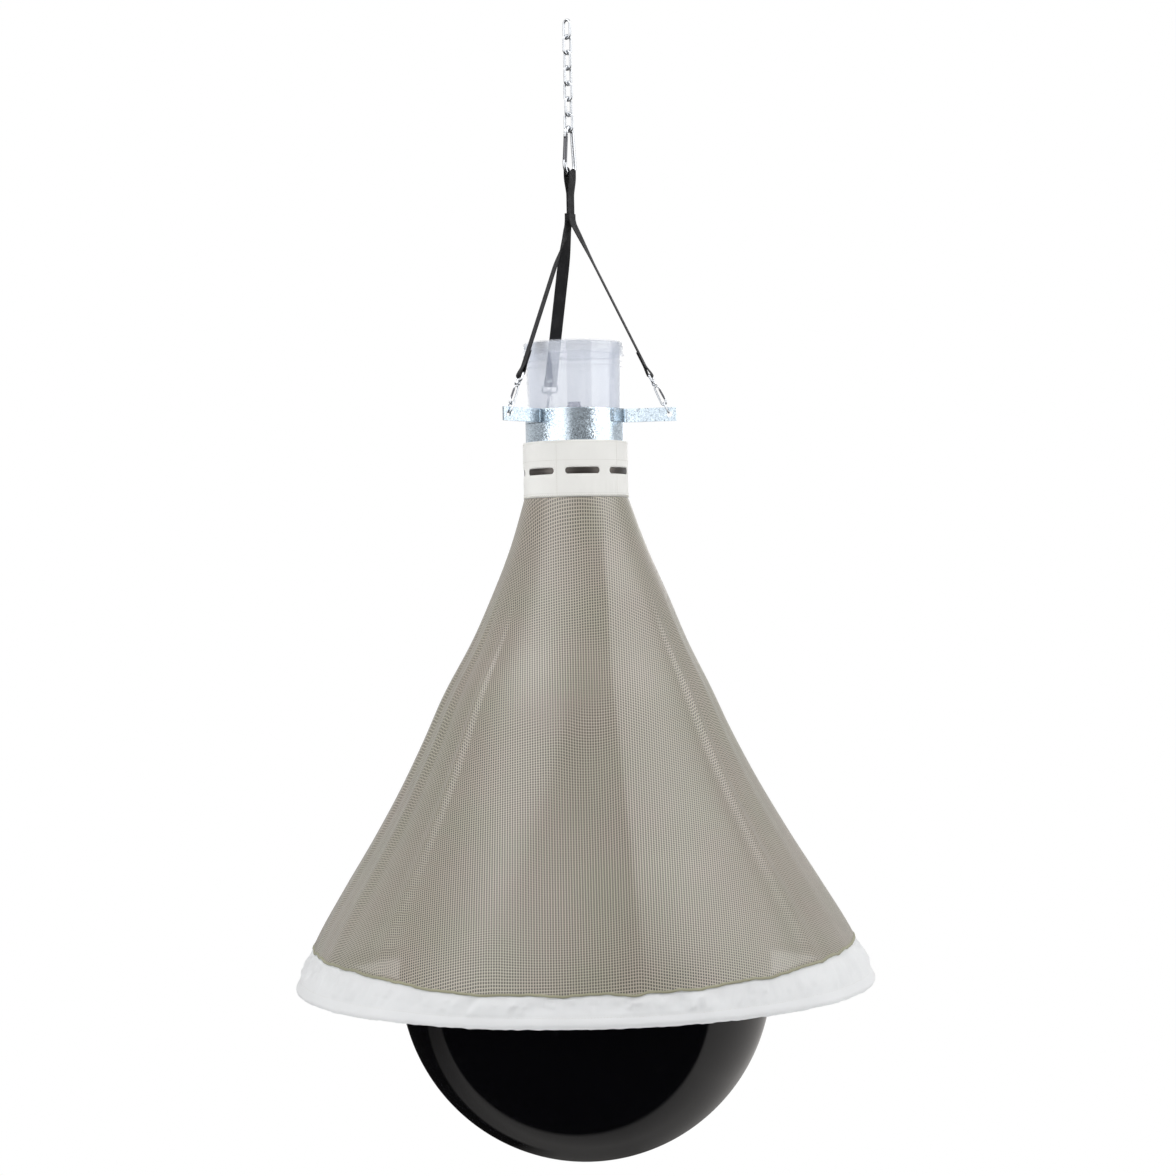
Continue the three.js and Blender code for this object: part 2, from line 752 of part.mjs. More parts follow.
function addJar() {
  const jarTop = jarBase + jarHeight;
  const radiusAt = (height) =>
    lerp(jarBottomRadius, jarTopRadius, (height - jarBase) / jarHeight);
  const ridge = [1, 0, -1].map((place) => {
    const height = jarTop - jarRidgeDrop + place * jarRidge;
    return [radiusAt(height) + (place === 0 ? jarRidge : 0), height];
  });
  const rim = jarTopRadius + jarRimFlare;
  const outer = [
    [rim, jarTop],
    [rim, jarTop - jarRimHeight],
    [radiusAt(jarTop - 1.5 * jarRimHeight), jarTop - 1.5 * jarRimHeight],
    ...ridge,
    [jarBottomRadius, jarBase],
  ];
  const inner = [
    [jarBottomRadius - jarWall, jarBase],
    [jarTopRadius - jarWall, jarTop],
  ];
  piece("jar", turnedWall(outer, inner), clearPlastic, trap);
}

function addLid() {
  const under = jarBase + jarHeight + seatGap;
  const top = under + lidWall;
  const inner = jarTopRadius + jarRimFlare + seatGap;
  const outer = inner + lidWall;
  const corner = arc(at(outer - lidCorner, 0, top - lidCorner), lidCorner, at(1, 0, 0), at(0, 0, 1), 90, 0, 4);
  const profile = [
    [0, top],
    ...corner.map((p) => [p.x, p.z]),
    [outer, top - lidSkirt],
    [inner, top - lidSkirt],
    [inner, under],
    [0, under],
  ];
  piece("lid", turned(profile), clearPlastic, trap);
}

// The cone inside the jar that lets flies in and not out
function addInnerFunnel() {
  const outerFlange = jarBottomRadius - jarWall - seatGap;
  const base = funnelBaseShare * outerFlange;
  const top = jarBase + funnelHeight;
  const outer = [
    [funnelMouthRadius, top],
    [base, jarBase + funnelFlangeHeight],
    [outerFlange, jarBase + funnelFlangeHeight],
    [outerFlange, jarBase],
  ];
  const inner = [
    [base - funnelWall, jarBase],
    [funnelMouthRadius - funnelWall, top],
  ];
  piece("inner_funnel", turnedWall(outer, inner), funnelPlastic, trap);
}

// A part of a flat ring, cut from -half to half degrees about +X
function sector(inner, outer, half, height) {
  const shape = new THREE.Shape();
  shape.absarc(0, 0, outer, -radians(half), radians(half));
  shape.absarc(0, 0, inner, radians(half), -radians(half), true);
  const options = { depth: height, bevelEnabled: false, curveSegments: 10 };
  return new THREE.ExtrudeGeometry(shape, options).translate(0, 0, -height / 2);
}

// The cloth collar: lining, channel for the clamp band, and a facing with slots
function addCollar() {
  const channelTop = clampHeight + clampWidth / 2 + channelPlay;
  const channelBase = clampHeight - clampWidth / 2 - channelPlay;
  const inner = [
    [collarInner, collarBase],
    [collarInner, collarTop],
  ];
  const body = turnedWall([[collarOuter, collarTop], [collarOuter, collarBase]], inner);
  const channel = turnedWall(
    [[channelOuter, channelTop], [channelOuter, channelBase]],
    [[channelInner, channelBase], [channelInner, channelTop]],
  );
  const height = clampWidth + 2 * channelPlay;
  const period = 360 / slotCount;
  const endDeg = THREE.MathUtils.radToDeg(height / 2 / collarOuter);
  const half = (slotShare * period) / 2 - endDeg;
  const reach = collarOuter + cutOverrun;
  const middle = (channelOuter + channelInner) / 2;
  const cutters = [];
  for (let i = 0; i < slotCount; i += 1) {
    const turn = radians(slotCentreDeg + i * period);
    cutters.push(sector(middle, reach, half, height).rotateZ(turn).translate(0, 0, clampHeight));
    [-half, half].forEach((side) => {
      const end = rod(height / 2, reach - middle, "x", wireSides);
      end.translate((reach + middle) / 2, 0, clampHeight).rotateZ(turn + radians(side));
      cutters.push(end);
    });
  }
  const halfHousing = THREE.MathUtils.radToDeg(housingLength / collarOuter);
  const window = sector(middle, reach, halfHousing, housingWidth + 2 * collarFacing);
  window.rotateZ(radians(housingTurnDeg)).translate(0, 0, clampHeight);
  piece("collar", cut(body, channel, ...cutters, window), whiteCloth, trap);
}

// A hose clamp: a steel band, a bent housing and the worm screw that tightens it
function addClamp() {
  const inner = channelInner + (collarChannel - clampThickness) / 2;
  const outer = inner + clampThickness;
  const [high, low] = [clampHeight + clampWidth / 2, clampHeight - clampWidth / 2];
  const band = turnedWall([[outer, high], [outer, low]], [[inner, low], [inner, high]]);
  piece("clamp_band", band, darkSteel, trap);
  const group = new THREE.Group();
  group.position.z = clampHeight;
  group.rotation.z = radians(housingTurnDeg);
  trap.add(group);
  const foot = outer + seatGap;
  const seat = foot + housingBase;
  const axis = seat + screwRadius;
  const crown = screwRadius + seatGap + housingWall;
  const half = housingWidth / 2;
  const shell = new THREE.Shape();
  shell.moveTo(-half, foot);
  shell.lineTo(half, foot);
  shell.lineTo(half, seat);
  shell.lineTo(crown, seat);
  shell.absarc(0, axis, crown, 0, Math.PI);
  shell.lineTo(-crown, seat);
  shell.lineTo(-half, seat);
  const solid = new THREE.ExtrudeGeometry(shell, { depth: housingLength, bevelEnabled: false });
  solid.translate(0, 0, -housingLength / 2);
  const bore = rod(screwRadius + seatGap, housingLength + cutOverrun, "z").translate(0, axis, 0);
  const onBand = new THREE.Matrix4().makeBasis(at(0, 0, 1), at(1, 0, 0), at(0, 1, 0));
  piece("clamp_housing", cut(solid, bore).applyMatrix4(onBand), stainless, group);
  const worm = rod(screwRadius, housingLength + screwTail, "y").translate(0, -screwTail / 2, 0);
  const head = rod(screwHeadRadius, screwHeadLength, "y", 6);
  const headMiddle = (housingLength + screwHeadLength) / 2 + seatGap;
  head.translate(0, headMiddle, 0);
  const neck = rod(screwRadius, seatGap + cutOverrun, "y").translate(0, housingLength / 2, 0);
  const groove = block(screwSlot, screwHeadLength, 3 * screwHeadRadius);
  groove.translate(0, headMiddle + screwHeadLength / 2, 0);
  piece("clamp_screw", cut(join(worm, neck, head), groove), stainless, group).position.x = axis;
}

// How far the mesh's outer face stands from the axis, at an angle and a height. The cloth hangs in
// shallow folds that die out at the collar and at the hoop.
function coneRadius(angle, height) {
  const share = (coneTop - height) / coneDrop;
  const place = share * (flareShares.length - 1);
  const knot = Math.min(Math.floor(place), flareShares.length - 2);
  const flare = lerp(flareShares[knot], flareShares[knot + 1], place - knot);
  const fold = (1 - Math.cos(foldCount * angle)) / 2;
  const depth = foldDepth * Math.sin(Math.PI * Math.min(share, 1)) * fold;
  return lerp(collarOuter + coneLap, hoopReach + hemRoll, flare) - depth;
}

// Where the mesh meets the hem: lower at the front and the back than at the sides
const hemEdge = (angle) => hoopHeight + hemRise - hemDip * Math.sin(angle) ** 2;

// A cloth wall round the axis. section(angle) gives its outer and inner [radius, height] points.
function clothWall(section) {
  const sections = Array.from({ length: clothSides }, (_, i) => {
    const angle = (2 * Math.PI * i) / clothSides;
    const { outer, inner } = section(angle);
    return [...outer, ...inner.reverse()].map(([radius, height]) =>
      at(radius * Math.cos(angle), radius * Math.sin(angle), height),
    );
  });
  return loft(sections, true);
}

function addMeshCone() {
  const rows = 8;
  const wall = clothWall((angle) => {
    const edge = hemEdge(angle) + seatGap;
    const outer = Array.from({ length: rows + 1 }, (_, i) => {
      const height = lerp(coneTop, edge, i / rows);
      return [coneRadius(angle, height), height];
    });
    return { outer, inner: outer.map(([radius, height]) => [radius - coneWall, height]) };
  });
  piece("mesh_cone", wall, taupeMesh, trap);
}

// The white hem: it carries on the mesh's slope and curls round the hoop.
function addHem() {
  const rows = 3;
  const tangentDeg = THREE.MathUtils.radToDeg(Math.atan((hoopReach - collarOuter) / coneDrop));
  const wall = clothWall((angle) => {
    const low = hoopHeight + hemRoll;
    const outer = [];
    const inner = [];
    for (let i = 0; i < rows; i += 1) {
      const height = lerp(hemEdge(angle), low, i / rows);
      const radius = coneRadius(angle, height);
      outer.push([radius, height]);
      inner.push([radius - hemWall, height]);
    }
    for (let i = 0; i <= hemCurls; i += 1) {
      const turn = radians(tangentDeg - i * hemCurlDeg);
      [outer, inner].forEach((side, k) => {
        const radius = hemRoll - k * hemWall;
        side.push([hoopReach + radius * Math.cos(turn), hoopHeight + radius * Math.sin(turn)]);
      });
    }
    return { outer, inner };
  });
  piece("hem", wall, whiteCloth, trap);
  const hoop = new THREE.TorusGeometry(hoopReach, hoopRadius, thinWireSides, clothSides);
  piece("hoop", hoop, hoopPlastic, trap).position.z = hoopHeight;
}

// The eye bolt under the seat plate, and its nut above
function addHook() {
  const eye = new THREE.TorusGeometry(hookEyeRadius, hookWire / 2, wireSides, linkSteps);
  eye.rotateY(Math.PI / 2).translate(0, 0, hookEyeHeight);
  const shankTop = seatTop + seatGap + nutHeight + threadTail;
  const shankBase = hookEyeHeight + hookEyeRadius;
  const shank = rod(hookShankRadius, shankTop - shankBase, "z");
  shank.translate(0, 0, (shankTop + shankBase) / 2);
  piece("hook_bolt", join(eye, shank), zinc, trap);
  const hex = rod(nutRadius, nutHeight, "z", 6);
  const bore = rod(hookShankRadius + seatGap, nutHeight + cutOverrun, "z");
  const nut = piece("hook_nut", cut(hex, bore), zinc, trap);
  nut.position.z = seatTop + seatGap + nutHeight / 2;
}

// The cord that carries the ball: round the hook, down to a knot, then a drop-shaped loop through
// the ball's lug, with a loose tail beside it
function addBallCord() {
  const down = (x, drop) => at(x, 0, cordPivot - drop);
  const bend = hookWire / 2 + seatGap + cordRadius;
  const side = (sign) =>
    cordSpreadShares.map((share, i) =>
      down(sign * share * cordSpread, lerp(knotDrop, cordDrop, cordDropShares[i])),
    );
  const sleeve = lugSleeveLength / 2;
  const loop = [...side(-1), down(-sleeve, cordDrop), down(0, cordDrop)];
  loop.push(down(sleeve, cordDrop), ...side(1).reverse());
  const over = arc(down(0, 0), bend, at(1, 0, 0), at(0, 0, 1), 180, 0, 8);
  const close = cordRadius + seatGap;
  const top = [down(-close, knotDrop), down(-close, 4 * bend), ...over];
  top.push(down(close, 4 * bend), down(close, knotDrop));
  const inset = (share, i) => share * cordSpread - cordTailInset * smooth(2 * cordDropShares[i]);
  const tail = cordSpreadShares
    .slice(0, -1)
    .map((share, i) => down(inset(share, i), lerp(knotDrop, cordDrop, cordDropShares[i])));
  const y = at(0, 1, 0);
  const strand = (points, steps) => {
    const curve = new THREE.CatmullRomCurve3(points, false, "centripetal");
    const count = steps * (points.length - 1);
    const sections = Array.from({ length: count + 1 }, (_, i) => {
      const out = curve.getTangent(i / count).cross(y);
      return arc(curve.getPoint(i / count), cordRadius, out, y, 30, 330, thinWireSides - 1);
    });
    return loft(sections);
  };
  const knot = new THREE.SphereGeometry(knotRadius, wireSides, thinWireSides).rotateX(Math.PI / 2);
  knot.scale(1, 1, knotHeight / 2 / knotRadius).translate(0, 0, cordPivot - knotDrop);
  const cord = join(strand(loop, 2), strand(top, 1), strand(tail, 1), knot);
  piece("ball_cord", cord, whiteCord, trap);
}

const ballSphere = (radius) =>
  new THREE.SphereGeometry(radius, ballColumns, ballRows).rotateX(Math.PI / 2);

// The inflated ball: a thin shell with a valve hole, a lug moulded for its cord and a plug
function addBall() {
  const group = new THREE.Group();
  group.position.z = ballHeight;
  trap.add(group);
  const valve = new THREE.Group();
  valve.rotation.x = -radians(plugTiltDeg);
  group.add(valve);
  const hole = rod(plugRadius + seatGap, 2 * plugLength, "z").translate(0, 0, ballRadius);
  hole.rotateX(-radians(plugTiltDeg));
  const shell = cut(ballSphere(ballRadius), ballSphere(ballRadius - ballWall), hole);
  piece("ball", shell, blackVinyl, group);
  const stem = rod(plugRadius, plugLength, "z").translate(0, 0, -plugLength / 2);
  const cap = rod(plugHeadRadius, plugHeadHeight, "z").translate(0, 0, plugHeadHeight / 2);
  const plug = piece("air_plug", join(stem, cap), blackRubber, valve);
  plug.position.z = ballRadius + seatGap;
  const foot = turned(
    [
      [0, lugHeight],
      [lugStemRadius, lugHeight],
      [lugStemRadius, 2 * lugFlangeHeight],
      [lugFlangeRadius, lugFlangeHeight / 2],
      [lugFlangeRadius, -lugFlangeHeight],
      [0, -lugFlangeHeight],
    ],
    smallSides,
  ).translate(0, 0, ballRadius);
  const sleeve = rod(lugSleeveRadius, lugSleeveLength, "x");
  const bore = rod(cordRadius + lugBorePlay, lugSleeveLength + cutOverrun, "x");
  const height = ballRadius + lugHeight;
  const lug = cut(
    join(foot, sleeve.translate(0, 0, height)),
    bore.translate(0, 0, height),
    ballSphere(ballRadius + seatGap),
  );
  piece("ball_lug", lug, blackRubber, group);
}

addChain();
addCarabiner();
addHarnessLoop();
[0, 1, 2].forEach((k) => {
  addLegStrap(k);
  addLegHardware(k);
  addArm(k);
});
addRing();
addSeatPlate();
addJar();
addLid();
addInnerFunnel();
addCollar();
addClamp();
addMeshCone();
addHem();
addHook();
addBallCord();
addBall();

export default trap;
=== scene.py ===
import json
from math import asin, atan, copysign, cos, degrees, exp, hypot, pi, radians, sin, sqrt

import bpy
from mathutils import Matrix, Vector, noise


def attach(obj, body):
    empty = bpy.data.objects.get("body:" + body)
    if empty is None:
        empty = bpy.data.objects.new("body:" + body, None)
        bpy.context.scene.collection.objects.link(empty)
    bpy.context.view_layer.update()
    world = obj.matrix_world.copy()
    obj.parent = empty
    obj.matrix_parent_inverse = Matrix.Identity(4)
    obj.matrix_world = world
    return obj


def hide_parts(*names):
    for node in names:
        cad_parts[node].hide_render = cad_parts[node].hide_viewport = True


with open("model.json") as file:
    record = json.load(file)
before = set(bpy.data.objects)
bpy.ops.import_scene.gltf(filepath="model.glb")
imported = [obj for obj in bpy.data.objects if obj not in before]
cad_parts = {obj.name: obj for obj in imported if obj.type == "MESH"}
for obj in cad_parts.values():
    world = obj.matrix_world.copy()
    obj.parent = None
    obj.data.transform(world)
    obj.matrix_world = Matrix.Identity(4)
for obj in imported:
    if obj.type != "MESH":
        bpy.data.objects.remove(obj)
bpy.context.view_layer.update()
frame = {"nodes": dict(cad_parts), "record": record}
nodes = frame["nodes"]
bodies = frame["record"]["behaviour"]["bodies"]
body_of = {node: body for body, solids in bodies.items() for node in solids}

# The part's own sizes, in millimetres, as its source has them
MM = 0.001
SEAT = 0.3
CHAIN_WIRE, CHAIN_LENGTH, CHAIN_WIDTH = 4, 23.3, 8
CHAIN_TURNS = (-42, 30, -45, 42, -33, 48, -25)
CARABINER_TURN = 60
CARABINER_WIRE = 6.5
CARABINER = {"top_radius": 9, "foot_radius": 14.25, "length": 76.5, "tongue": 4.8, "nose_rise": 4, "overlap": 5.5}
SNAP = {"top_radius": 2.9, "foot_radius": 3.8, "length": 33, "tongue": 2.6, "nose_rise": 5.2, "overlap": 2.6}
SNAP_WIRE = 3
ARM_LINK_WIRE, ARM_LINK_LENGTH, ARM_LINK_WIDTH = 2.8, 14, 7
CARABINER_TOP, CARABINER_BEARING = -161.0, -224.5
JUNCTION = -287.5
LOOP_TAIL = 10
LOOP_DROP = 63
LOOP_SHOULDER = 16
LOOP_CUP = 10.7
WEB_WIDTH, WEB_THICK = 19, 1.4
ARM_HOLE = -587.5
ARM_REACH = 143
ARMS = (("right", -12, 0, -1.5), ("left", -132, -28, 1.5), ("rear", 108, 0, 2.5))
EYE_BAR = 3.2
EYE_BAR_AT, EYE_WINDOW, LINK_CENTRE, SNAP_AT = 64.5, 53.4, 10.9, 44.6
LEG_FLARE, LEG_SEWN_END, LEG_SEWN_TOP, LEG_TWIST = 18, 38, 12, 70
RING_TOP, RING_BASE, RING_RADIUS = -577.5, -699.5, 73
JAR_BASE, JAR_HEIGHT, JAR_TOP_R, JAR_BASE_R, JAR_WALL = -671.5, 191.5, 71.5, 67.4, 1.6
COLLAR_TOP, COLLAR_BASE = -625.5, -707.5
SEAT_BASE, LID_TOP = -673.8, -477.9
COLLAR_IN, COLLAR_OUT = 73.3, 77.7
CLAMP_HEIGHT, CLAMP_SLOT = -669.5, 10.2
SLOTS, SLOT_CENTRE, SLOT_SHARE = 7, -82.3, 0.747
HOUSING_TURN = 71.9857
WINDOW_HALF, WINDOW_RISE, WINDOW_CORNER = 12.5, 5.5, 2.2
CONE_TOP, CONE_DROP, HOOP_REACH, HOOP_HEIGHT = -707.8, 709.7, 419.5, -1417.5
HEM_RISE, HEM_DIP, HEM_ROLL = 58, 22, 6.9
FLARE = (0, 0.075, 0.164, 0.251, 0.353, 0.447, 0.55, 0.666, 0.791, 0.909, 1)
CORD_PIVOT, CORD_DROP, CORD_RADIUS = -695.3, 379, 1.5
CORD_SPREAD = 27.5
CORD_SHARES = (0.1, 0.3, 0.52, 0.7, 0.84, 0.95, 1, 0.93)
CORD_DROPS = (0, 0.2, 0.43, 0.62, 0.76, 0.87, 0.93, 0.975)
KNOT_DROP = 178
BALL_CENTRE, BALL_RADIUS = -1408.3, 275
PLUG_TILT, PLUG_HOLE = 18, 5.6
LUG_AXIS = -1074.3
HOOK_EYE, HOOK_REACH, HOOK_WIRE = -687.3, 8, 5

# Sewing and cloth: where the collar's seams lie, and the net's seam, creases and dents, in degrees
SEAMS = [-112.6 + 72 * k for k in range(5)]
NET_SEAM = 74
NET_CREASES = (
    (-167, 2.2, 3.4), (-154, 2.6, 3.4), (-136, 2.0, 3.0), (-37, 2.4, 3.4), (-22, 3.4, 1.6),
    (22, 3, 2.6), (52, 2.6, 2.4), (112, 3, 2.8), (146, 2.4, 3),
)
NET_DENTS = ((-112, 0.955, -1.6), (-97, 0.965, -1.3), (-35, 0.9, -1.5), (60, 0.94, -1.5), (150, 0.93, -1.4))
PANEL_LEFT = ((0, -68), (0.13, -81), (0.33, -90.5), (0.54, -101), (0.75, -108), (1, -112))
PANEL_RIGHT = ((0, -60), (0.13, -70), (0.33, -76.5), (0.6, -78), (1, -80))
STITCHED = 0.84
HEM_SLOPE, HEM_WRAP = 60, 262
WEB_THREAD, COLLAR_THREAD, OVERLOCK_THREAD, HEM_THREAD = 0.24, 0.19, 0.28, 0.26
SIDES = 144

PHOTO = 1176
PIXELS_PER_MM = 0.6752
CAMERA_DISTANCE = 3800
HORIZON = -858
AXIS_PIXEL = (578.3, 600)
LEAN = radians(1.15)
FLOOR, FLOOR_REACH = -2080, 30


def at(x, y, z):
    return Vector((x, y, z))


X, Y, Z = at(1, 0, 0), at(0, 1, 0), at(0, 0, 1)


def bearing(angle):
    a = radians(angle)
    return at(cos(a), sin(a), 0)


def polar(angle, reach, height):
    """A point in a direction from the axis, at a distance from it and at a height."""
    return bearing(angle) * reach + Z * height


def lerp(a, b, t):
    return a + (b - a) * t


def smooth(t):
    t = min(max(t, 0), 1)
    return t * t * (3 - 2 * t)


def wrap(angle):
    """The same direction between -180 and 180 degrees."""
    return (angle + 180) % 360 - 180


def peak(x, width=1.0):
    """A bell of height 1 about 0."""
    return exp(-((x / width) ** 2))


def round_noise(scale, a, height):
    """Noise that closes on itself round the axis."""
    return noise.noise(at(scale * cos(a), scale * sin(a), height))


def shift(offset):
    return Matrix.Translation(offset)


def spin(angle, axis="Z"):
    return Matrix.Rotation(radians(angle), 4, axis)


def add_object(name, data):
    made = bpy.data.objects.new(name, data)
    bpy.context.scene.collection.objects.link(made)
    return made


def add_camera():
    """A camera at the horizon's height, turned a little so that the axis falls on its pixel."""
    data = bpy.data.cameras.new("camera")
    camera = add_object("camera", data)
    bpy.context.scene.camera = camera
    focal, half = PIXELS_PER_MM * CAMERA_DISTANCE, PHOTO / 2
    data.sensor_width = 36
    data.lens = data.sensor_width * focal / PHOTO
    data.clip_start, data.clip_end = 0.1, 60
    level = Matrix((at(cos(LEAN), 0, -sin(LEAN)), at(sin(LEAN), 0, cos(LEAN)), -Y)).transposed()
    aim = at(AXIS_PIXEL[0] - half, half - AXIS_PIXEL[1], -focal).normalized()
    turn = (level @ aim).rotation_difference(Y).to_matrix()
    camera.matrix_world = (turn @ level).to_4x4()
    camera.location = at(0, -CAMERA_DISTANCE, HORIZON) * MM


def add_lamp(name, place, aim, width, height, power):
    data = bpy.data.lights.new(name, "AREA")
    data.shape = "RECTANGLE"
    data.size, data.size_y = width, height
    data.energy = power
    lamp = add_object(name, data)
    lamp.location = place
    lamp.rotation_euler = (Vector(aim) - lamp.location).to_track_quat("-Z", "Y").to_euler()
    lamp.visible_camera = False


class Nodes:
    """Short calls for the nodes of one tree. A value is a number, a tuple or another node's socket."""

    def __init__(self, tree):
        self.tree = tree
        self.coordinates = self.node("TexCoord").outputs

    def put(self, socket, value):
        if isinstance(value, bpy.types.NodeSocket):
            self.tree.links.new(value, socket)
        else:
            socket.default_value = value

    def node(self, kind, inputs=None, **settings):
        made = self.tree.nodes.new("ShaderNode" + kind)
        for key, value in settings.items():
            setattr(made, key, value)
        for key, value in (inputs or {}).items():
            self.put(made.inputs[key], value)
        return made

    def split(self, vector):
        return self.node("SeparateXYZ", {"Vector": vector}).outputs

    def math(self, operation, *values, kind="Math"):
        return self.node(kind, dict(enumerate(values)), operation=operation).outputs[0]

    def times(self, first, second):
        return self.math("MULTIPLY", first, second)

    def add(self, first, second):
        return self.math("ADD", first, second)

    def minus(self, first, second):
        return self.math("SUBTRACT", first, second)

    def span(self, value, low, high, to_low=0, to_high=1):
        inputs = {"Value": value, "From Min": low, "From Max": high, "To Min": to_low, "To Max": to_high}
        return self.node("MapRange", inputs).outputs["Result"]

    def choose(self, share, first, second):
        """A shader between two."""
        return self.node("MixShader", {"Fac": share, 1: first, 2: second}).outputs[0]


def add_world():
    """White where it is seen, a soft fill that lights, and a room with a dark foot for mirrors."""
    world = bpy.data.worlds.new("world")
    bpy.context.scene.world = world
    world.use_nodes = True
    world.node_tree.nodes.clear()
    s = Nodes(world.node_tree)
    ray = s.node("LightPath").outputs
    way = s.split(s.coordinates["Generated"])
    room = s.times(s.span(way["Y"], -0.6, 0.8, 0.45, 0.75), s.span(way["Z"], -0.13, 0, 0.03, 1))
    levels = (s.span(way["Y"], -1, 1, 0.1, 0.75), room, (1, 1, 1, 1))
    fill, mirror, white = (s.node("Background", {"Color": level, "Strength": 1}).outputs[0] for level in levels)
    seen = s.math("MAXIMUM", ray["Is Camera Ray"], ray["Is Transmission Ray"])
    s.node("OutputWorld", {"Surface": s.choose(seen, s.choose(ray["Is Glossy Ray"], fill, mirror), white)})


class Shader(Nodes):
    """A Principled material and short calls for what feeds it."""

    def __init__(self, name, color, roughness, metallic=0.0, **sockets):
        self.material = bpy.data.materials.new(name)
        self.material.use_nodes = True
        super().__init__(self.material.node_tree)
        self.main = self.tree.nodes["Principled BSDF"]
        self.color = color
        self.material.diffuse_color = (*color, 1)
        self.feed("Base Color", (*color, 1))
        self.feed("Roughness", roughness)
        self.feed("Metallic", metallic)
        for key, value in sockets.items():
            self.feed(key, value)

    def feed(self, socket, value):
        self.put(self.main.inputs[socket], value)

    def at_object(self, scale=(1, 1, 1), space="Object"):
        return self.node("Mapping", {"Vector": self.coordinates[space], "Scale": scale}).outputs[0]

    def noise(self, vector, scale, detail=3, rough=0.5):
        inputs = {"Vector": vector, "Scale": scale, "Detail": detail, "Roughness": rough}
        return self.node("TexNoise", inputs).outputs["Fac"]

    def mix(self, share, first, second):
        """A colour between two."""
        made = self.node("Mix", {0: share}, data_type="RGBA")
        for index, value in ((6, first), (7, second)):
            self.put(made.inputs[index], (*value, 1) if isinstance(value, tuple) else value)
        return made.outputs[2]

    def shades(self, value, low, high, dark, light):
        """The own colour times dark where the value is low, and times light where it is high."""
        return self.mix(self.span(value, low, high), shade(self.color, dark), shade(self.color, light))

    def bump(self, height, strength, distance):
        inputs = {"Height": height, "Strength": strength, "Distance": distance}
        self.feed("Normal", self.node("Bump", inputs).outputs[0])


def shade(color, factor):
    return tuple(min(c * factor, 1) for c in color)


def metal(name, color, roughness, cell=0.0):
    """Plated or polished metal. cell is the size of a galvanised spangle in metres, if it has one."""
    s = Shader(name, color, roughness, 1.0)
    place = s.at_object()
    cloud = s.noise(place, 35, 2)
    if not cell:
        fine = s.noise(place, 260, 4, 0.6)
        s.feed("Base Color", s.shades(cloud, 0.35, 0.7, 0.88, 1.05))
        s.feed("Roughness", s.span(fine, 0.3, 0.7, roughness * 0.75, roughness * 1.3))
        s.bump(fine, 0.08, 0.0004)
        return s.material
    vector = lambda *values: s.math(*values, kind="VectorMath")
    cells = s.node("TexVoronoi", {"Vector": place, "Scale": 1 / cell}, feature="F1").outputs["Color"]
    s.feed("Base Color", s.shades(s.node("SeparateColor", {"Color": cells}).outputs[0], 0, 1, 0.66, 1.25))
    s.feed("Roughness", s.span(cloud, 0.3, 0.7, roughness * 0.8, roughness * 1.25))
    tilt = vector("MULTIPLY", vector("SUBTRACT", cells, (0.5, 0.5, 0.5)), (0.15, 0.15, 0.15))
    s.feed("Normal", vector("NORMALIZE", vector("ADD", s.node("NewGeometry").outputs["Normal"], tilt)))
    return s.material


def plastic(name, color, roughness, grain=300):
    s = Shader(name, color, roughness)
    place = s.at_object()
    broad = s.noise(place, 14, 3)
    s.feed("Base Color", s.shades(broad, 0.3, 0.7, 0.9, 1.08))
    s.feed("Roughness", s.span(broad, 0.25, 0.75, roughness * 0.8, roughness * 1.25))
    s.bump(s.noise(place, grain, 3, 0.6), 0.1, 0.0002)
    return s.material


def clear(name, color, roughness, alpha):
    """Clear moulded plastic: a tinted, mostly see-through skin whose edges look denser."""
    gloss = {"Specular IOR Level": 1.0, "Coat Weight": 1.0, "Coat Roughness": 0.1, "Coat IOR": 1.9}
    s = Shader(name, color, roughness, **gloss)
    haze = s.noise(s.at_object(), 9, 3)
    streak = s.noise(s.at_object((18, 18, 1.5)), 1, 2)
    edge = s.times(s.node("LayerWeight", {"Blend": 0.35}).outputs["Facing"], 0.22)
    density = s.add(edge, s.span(haze, 0.3, 0.7, alpha * 0.92, alpha * 1.08))
    s.feed("Alpha", s.node("Clamp", {"Value": density}).outputs[0])
    s.feed("Roughness", s.span(streak, 0.3, 0.7, roughness, roughness * 2.2))
    s.bump(streak, 0.05, 0.0005)
    return s.material


def weave(s, u_step, v_step):
    """Heights of two crossing sets of threads over the UVs, which are in metres."""
    uv = s.split(s.coordinates["UV"])
    return [s.math("COSINE", s.times(uv[axis], 2 * pi / step)) for axis, step in (("X", u_step), ("Y", v_step))]


def net_material():
    """Net of pale threads, its upright ones the stronger, and round holes that are partly open, painted near
    black as a painted shade for the shadowed inside seen through them.
    """
    color = (0.437, 0.393, 0.32)
    s = Shader("net", color, 0.36, **{"Specular IOR Level": 0.85})
    across, along = weave(s, 0.0037, 0.0040)
    place = s.at_object()
    thread = s.math("MAXIMUM", across, s.minus(along, 0.2))
    gap = s.span(thread, 0, 0.35, 1, 0)
    hue = s.noise(place, 11, 2)
    fine = s.noise(s.at_object((700, 700, 1), "UV"), 1, 2)
    tone = s.shades(s.noise(place, 6, 4, 0.55), 0.3, 0.7, 0.9, 1.1)
    greenish, brownish = (s.mix(0.5, tone, other) for other in ((0.397, 0.393, 0.3), (0.456, 0.393, 0.335)))
    tone = s.mix(s.span(hue, 0.35, 0.65), greenish, brownish)
    # Painted shade: the holes between the threads are coloured near black, standing for the shadowed inside of
    # the cone seen through them.
    tone = s.mix(s.span(thread, 0, 0.7), shade(color, 0.1), tone)
    s.feed("Base Color", s.mix(s.span(fine, 0.35, 0.75, 0, 0.4), tone, shade(color, 0.5)))
    s.feed("Alpha", s.span(gap, 0, 1, 1, 0.78))
    s.bump(thread, 0.1, 0.0003)
    return s.material


